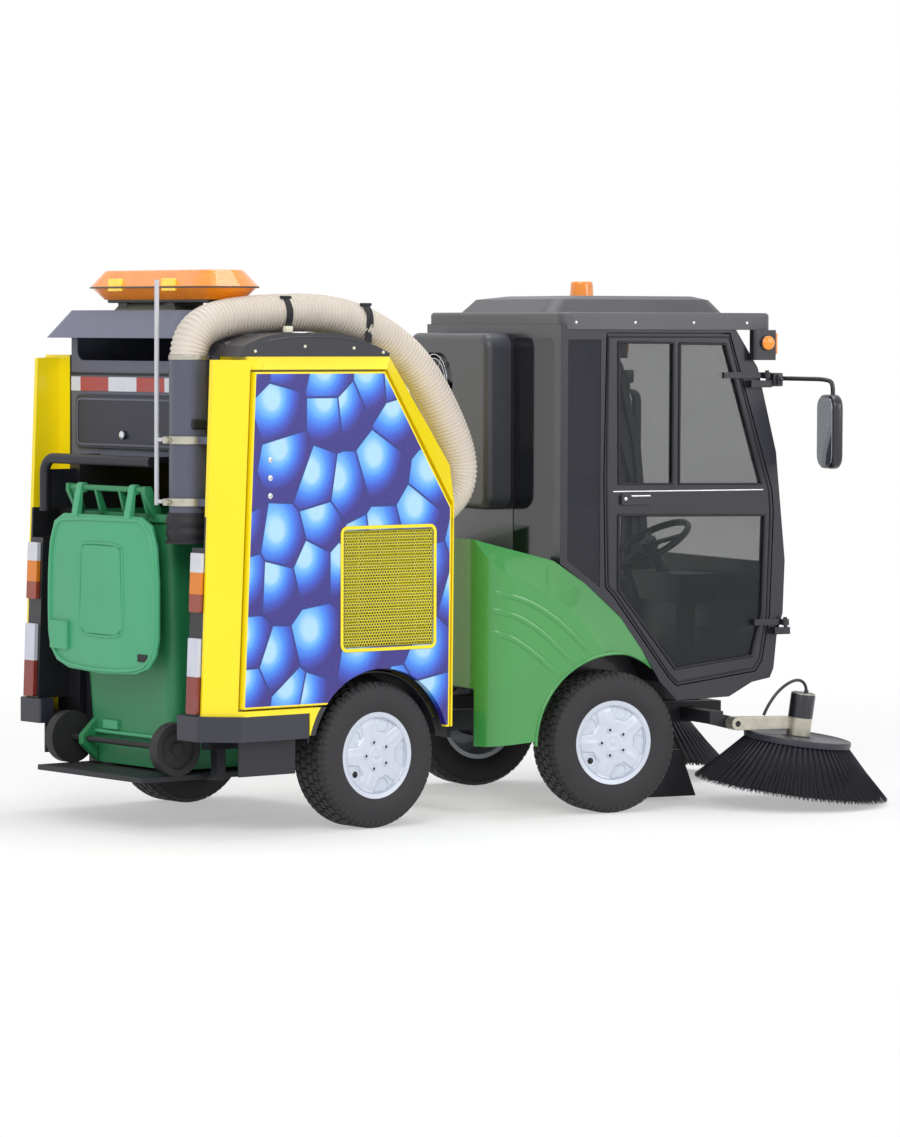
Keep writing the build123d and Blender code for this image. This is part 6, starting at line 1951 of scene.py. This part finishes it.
@dataclass
class Brushes:
    """Side brushes: plate, a skirt of inner bristles made near-black by painted shade, rings of bristle tufts, and
    the motor above each.
    """

    kit: Kit
    hub: Point = (2.075, -0.660, 0.262)
    lean: Point = (0.1045, -0.0698, 0.992)
    plate: float = 0.215
    drop: float = 0.203
    tufts: int = 68
    rings: tuple[tuple[float, int], ...] = ((0.206, 9), (0.197, 8), (0.186, 6))
    strand_radius: float = 0.0021
    tip_radius: float = 0.296
    tip_spread: float = 0.100
    uneven: Pair = (0.016, 0.012)
    fan: float = 3.6
    sway: float = 0.7
    seed: int = 7
    skirt_section: tuple[Pair, ...] = (
        (0.150, -0.014), (0.196, -0.013), (0.250, -0.066), (0.340, -0.176), (0.352, -0.192), (0.268, -0.190),
    )
    motor_section: tuple[Pair, ...] = (
        (0.0, 0.187), (0.040, 0.187), (0.047, 0.183), (0.0495, 0.176), (0.0495, 0.086), (0.0, 0.086),
    )
    cable: tuple[Point, ...] = (
        (0.012, 0, 0.190), (0.006, 0, 0.224), (-0.045, 0, 0.238), (-0.110, 0.004, 0.190), (-0.150, 0.010, 0.120),
        (-0.160, 0.014, 0.080),
    )
    cable_radius: float = 0.0062

    def build(self) -> None:
        """Model the right brush with its motor, and mirror it for the left."""
        tilt = Vector((0, 0, 1)).rotation_difference(Vector(self.lean)).to_matrix().to_4x4()
        place = Matrix.Translation(self.hub) @ tilt
        for side, word in ((-1, "right"), (1, "left")):
            for piece, name, key, body, nodes in (
                (self.bristles(), "bristles", "BRISTLE", "sweep", []),
                (self.skirt(), "brush_skirt", "DEEP", "sweep", []),
                (self.core(), "brush_core", "BUMPER", "sweep", [f"brush_{word}"]),
                (self.motor(), "brush_motor", "BLACK", "arm", []),
            ):
                piece.data.transform(place)
                if side > 0:
                    piece = Bench.reflected(piece)
                self.kit.seat(piece, f"{name}_{word}", key, f"{body}_{word}", Module.FRONT, nodes)

    def skirt(self) -> Thing:
        """The mass of inner bristles under the plate, about the origin; its near-black is painted shade over the
        bristles' own dark colour.
        """
        return Bench.lathe(self.skirt_section, (0, 0, 0), (0, 0, 1), 64)

    def motor(self) -> Thing:
        """The motor's black housing over its zinc foot, with its gland and a short bent pipe back to the arm.

        Returns:
            The motor about the origin.
        """
        shell = Bench.lathe(self.motor_section, (0, 0, 0), (0, 0, 1), 40, closed=False)
        gland = Bench.rod((0.012, 0, 0.184), (0.012, 0, 0.197), 0.009, 12, 0.002)
        pipe = Bench.pipe(self.cable, self.cable_radius, 4)
        return Bench.join([shell, gland, pipe])

    def core(self) -> Thing:
        """The plate with its lip and hub, about the origin.

        Returns:
            The plate.
        """
        section = [(0.0145, 0.012), (0.060, 0.012), (0.064, 0.009), (0.196, 0.009), (0.204, 0.014), (0.213, 0.012),
                   (self.plate, 0.002), (0.213, -0.012), (0.160, -0.013), (0.0145, -0.013)]
        return Bench.lathe(section, (0, 0, 0), (0, 0, 1), 64)

    def bristles(self) -> Thing:
        """Rings of leaning tufts: each tuft is a few strands with uneven ends, repeated round the plate.

        Returns:
            The bristles about the origin.
        """
        draw = random.Random(self.seed)
        things = []
        for ring, (radius, strands) in enumerate(self.rings):
            start = math.pi / self.tufts * (ring % 2)
            for index in range(strands):
                share = (radius - 0.165) / 0.045
                end_radius = self.tip_radius + self.tip_spread * share - self.uneven[0] * draw.random()
                depth = -self.drop + self.uneven[1] * draw.random()
                fan = (index / (strands - 1) - 0.5) * math.radians(self.fan)
                twist = start + fan + math.radians(-self.sway + 2 * self.sway * draw.random())
                root = Vector((radius * math.cos(start + fan * 0.5), radius * math.sin(start + fan * 0.5), -0.012))
                mid_radius = radius + (end_radius - radius) * 0.42
                bow = (start + twist) / 2
                middle = Vector((mid_radius * math.cos(bow), mid_radius * math.sin(bow), depth * 0.50))
                tip = Vector((end_radius * math.cos(twist), end_radius * math.sin(twist), depth))
                strand = self.strand(root, middle, tip, self.strand_radius)
                things.append(Bench.turned(strand, self.tufts, (0, 0, 0), (0, 0, 1)))
        return Bench.join(things)

    @staticmethod
    def strand(root: Vector, middle: Vector, tip: Vector, radius: float) -> Thing:
        """One three-sided bristle bundle, thinner at its tip.

        Args:
            root: where it leaves the plate.
            middle: what it bends towards.
            tip: where it ends.
            radius: its radius at the root.

        Returns:
            The bundle.
        """
        Bench.free()
        bpy.ops.mesh.primitive_cone_add(
            vertices=3, radius1=radius, radius2=radius * 0.6, depth=1.0, end_fill_type="NOTHING"
        )
        thing = bpy.context.object
        Bench.edit(thing, lambda: bpy.ops.mesh.subdivide(number_cuts=1))
        for vertex in thing.data.vertices:
            share = vertex.co.z + 0.5
            spot = (1 - share) ** 2 * root + 2 * share * (1 - share) * middle + share ** 2 * tip
            vertex.co = Vector((vertex.co.x, vertex.co.y, 0)) + spot
        return thing


@dataclass
class Seat:
    """The driver's seat: cushion and back as stuffed pads."""

    kit: Kit
    voxel: float = 0.012
    swell: float = 0.016
    share: float = 0.94
    pressure: float = 4.0
    settle: int = 15

    def build(self) -> None:
        """Pad both pieces from their plain solids."""
        for node, name in (("seat_cushion", "seat_pad"), ("seat_back", "back_pad")):
            thing = Bench.from_node(self.kit.frame["nodes"][node])
            rest = Vector(sum((Vector(corner) for corner in thing.bound_box), Vector()) / 8)
            shrink = Matrix.Diagonal((self.share, self.share, self.share, 1))
            thing.data.transform(Matrix.Translation(rest) @ shrink @ Matrix.Translation(-rest))
            Bench.modify(thing, "REMESH", mode="VOXEL", voxel_size=self.voxel, adaptivity=0.0)
            self.inflate(thing)
            Bench.modify(thing, "SMOOTH", factor=0.5, iterations=4)
            Bench.modify(thing, "SUBSURF", levels=1, render_levels=1)
            Bench.smooth(thing, 80)
            self.kit.seat(thing, name, "SEAT", "front_module", Module.FRONT, [node], placed=True)

    def inflate(self, thing: Thing) -> None:
        """Swell the pad as stuffed cloth, and cap how far any point goes.

        Args:
            thing: the pad.
        """
        Bench.only(thing)
        before = [vertex.co.copy() for vertex in thing.data.vertices]
        cloth = thing.modifiers.new("Cloth", "CLOTH")
        cloth.settings.use_pressure = True
        cloth.settings.uniform_pressure_force = self.pressure
        cloth.settings.effector_weights.gravity = 0.0
        scene = bpy.context.scene
        for frame in range(1, self.settle):
            scene.frame_set(frame)
        bpy.ops.object.modifier_apply(modifier=cloth.name)
        for vertex, old in zip(thing.data.vertices, before):
            move = vertex.co - old
            if move.length > self.swell:
                vertex.co = old + move.normalized() * self.swell
        scene.frame_set(1)


@dataclass
class Studio:
    """Pale floor, soft light and the camera at the photograph's angle."""

    camera_at: Point = (-11.4625, -13.8457, 1.8752)
    yaw: float = 0.682201
    pitch: float = 0.051868
    roll: float = 0.003340
    focal_share: float = 4566.86 / 1137
    sensor: float = 36.0
    floor_radius: float = 60.0
    floor_near: float = 0.42
    floor_ramp: Pair = (2.6, 6.5)
    soft_light: float = 0.62
    aim: Point = (0.0, 0.0, 0.9)
    lamps: tuple[tuple[str, Point, float, float], ...] = (
        ("key", (-9.0, -7.0, 8.0), 520.0, 6.0),
        ("fill", (4.0, -11.0, 5.0), 300.0, 6.0),
        ("top", (0.5, 1.0, 9.0), 240.0, 5.0),
    )

    def build(self) -> None:
        """Set up everything that isn't part of the vehicle."""
        self.camera()
        self.floor()
        self.lights()
        self.world()

    def camera(self) -> None:
        """The camera, turned by yaw, pitch and roll."""
        ahead = Vector((math.sin(self.yaw) * math.cos(self.pitch), math.cos(self.yaw) * math.cos(self.pitch),
                        -math.sin(self.pitch)))
        right = Vector((math.cos(self.yaw), -math.sin(self.yaw), 0.0))
        up = right.cross(ahead)
        level = math.cos(self.roll) * right + math.sin(self.roll) * up
        upright = -math.sin(self.roll) * right + math.cos(self.roll) * up
        lens = bpy.data.cameras.new("camera")
        lens.sensor_fit = "VERTICAL"
        lens.sensor_height = self.sensor
        lens.lens = self.focal_share * self.sensor
        lens.clip_end = 200.0
        holder = bpy.data.objects.new("camera", lens)
        bpy.context.scene.collection.objects.link(holder)
        turn = Matrix((level, upright, -ahead)).transposed().to_4x4()
        holder.matrix_world = Matrix.Translation(self.camera_at) @ turn
        bpy.context.scene.camera = holder

    def floor(self) -> None:
        """A wide floor, white to camera, mirrors and glass, but less so near the vehicle, where its shadow lies."""
        Bench.free()
        bpy.ops.mesh.primitive_circle_add(vertices=64, radius=self.floor_radius, fill_type="NGON", location=(0, 0, 0))
        thing = bpy.context.object
        thing.name = "floor"
        shader = Shader("floor")
        spot = shader.place()
        speck = shader.noise(spot, 0.6, 2.0)
        pale = shader.mix(speck, (252, 252, 252), (255, 255, 255))
        shader.finish(Base_Color=pale, Roughness=0.9, Specular_IOR_Level=0.0)
        glow = shader.node("ShaderNodeEmission", sockets={"Color": (1, 1, 1, 1), "Strength": 1.0})
        path = shader.node("ShaderNodeLightPath").socket.node
        seen = Wire(shader, path.outputs["Is Camera Ray"])
        mirrored = Wire(shader, path.outputs["Is Glossy Ray"])
        passed = Wire(shader, path.outputs["Is Transmission Ray"])
        far = shader.vector("LENGTH", spot, output=1).ramp(*self.floor_ramp)
        white = self.floor_near + (1 - self.floor_near) * far
        share = seen.maths("MAXIMUM", mirrored).maths("MAXIMUM", passed) * white
        body = Wire(shader, shader.surface.outputs[0])
        blend = shader.node("ShaderNodeMixShader", sockets={0: share, 1: body, 2: glow})
        out = shader.tree.nodes["Material Output"]
        shader.tree.links.new(blend.socket, out.inputs["Surface"])
        thing.data.materials.append(shader.material)

    def lights(self) -> None:
        """A large key over the camera's left, a fill on its right and a softer light from above."""
        for name, place, energy, size in self.lamps:
            light = bpy.data.lights.new(name, "AREA")
            light.shape = "DISK"
            light.size = size
            light.energy = energy
            holder = bpy.data.objects.new(name, light)
            bpy.context.scene.collection.objects.link(holder)
            aim = Vector(self.aim) - Vector(place)
            holder.matrix_world = Matrix.Translation(place) @ aim.to_track_quat("-Z", "Y").to_matrix().to_4x4()

    def world(self) -> None:
        """White all round: full white to the camera and to mirrors, softer as light."""
        world = bpy.data.worlds.new("studio")
        bpy.context.scene.world = world
        world.use_nodes = True
        tree = world.node_tree
        soft = tree.nodes["Background"]
        soft.inputs["Color"].default_value = (1.0, 1.0, 1.0, 1.0)
        soft.inputs["Strength"].default_value = self.soft_light
        white = tree.nodes.new("ShaderNodeBackground")
        white.inputs["Strength"].default_value = 1.0
        white.inputs["Color"].default_value = (1.0, 1.0, 1.0, 1.0)
        path = tree.nodes.new("ShaderNodeLightPath")
        blend = tree.nodes.new("ShaderNodeMixShader")
        seen = path.outputs["Is Camera Ray"]
        for ray in ("Is Glossy Ray", "Is Transmission Ray"):
            either = tree.nodes.new("ShaderNodeMath")
            either.operation = "MAXIMUM"
            tree.links.new(seen, either.inputs[0])
            tree.links.new(path.outputs[ray], either.inputs[1])
            seen = either.outputs[0]
        tree.links.new(seen, blend.inputs[0])
        tree.links.new(soft.outputs[0], blend.inputs[1])
        tree.links.new(white.outputs[0], blend.inputs[2])
        tree.links.new(blend.outputs[0], tree.nodes["World Output"].inputs["Surface"])


def main() -> None:
    """Load the frame, dress it piece by piece and set up the studio."""
    logging.basicConfig(level=logging.INFO, format="%(name)s: %(message)s")
    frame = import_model()
    bpy.context.scene.view_settings.view_transform = "Standard"
    kit = Kit(frame)
    Studio().build()
    parts = (SidePanels, Wheels, SuctionLine, HopperTrim, BeaconDetails, BinDetails, Wings, CabDetails, Brushes, Seat)
    for part in parts:
        part(kit).build()


if __name__ == "__main__":
    main()
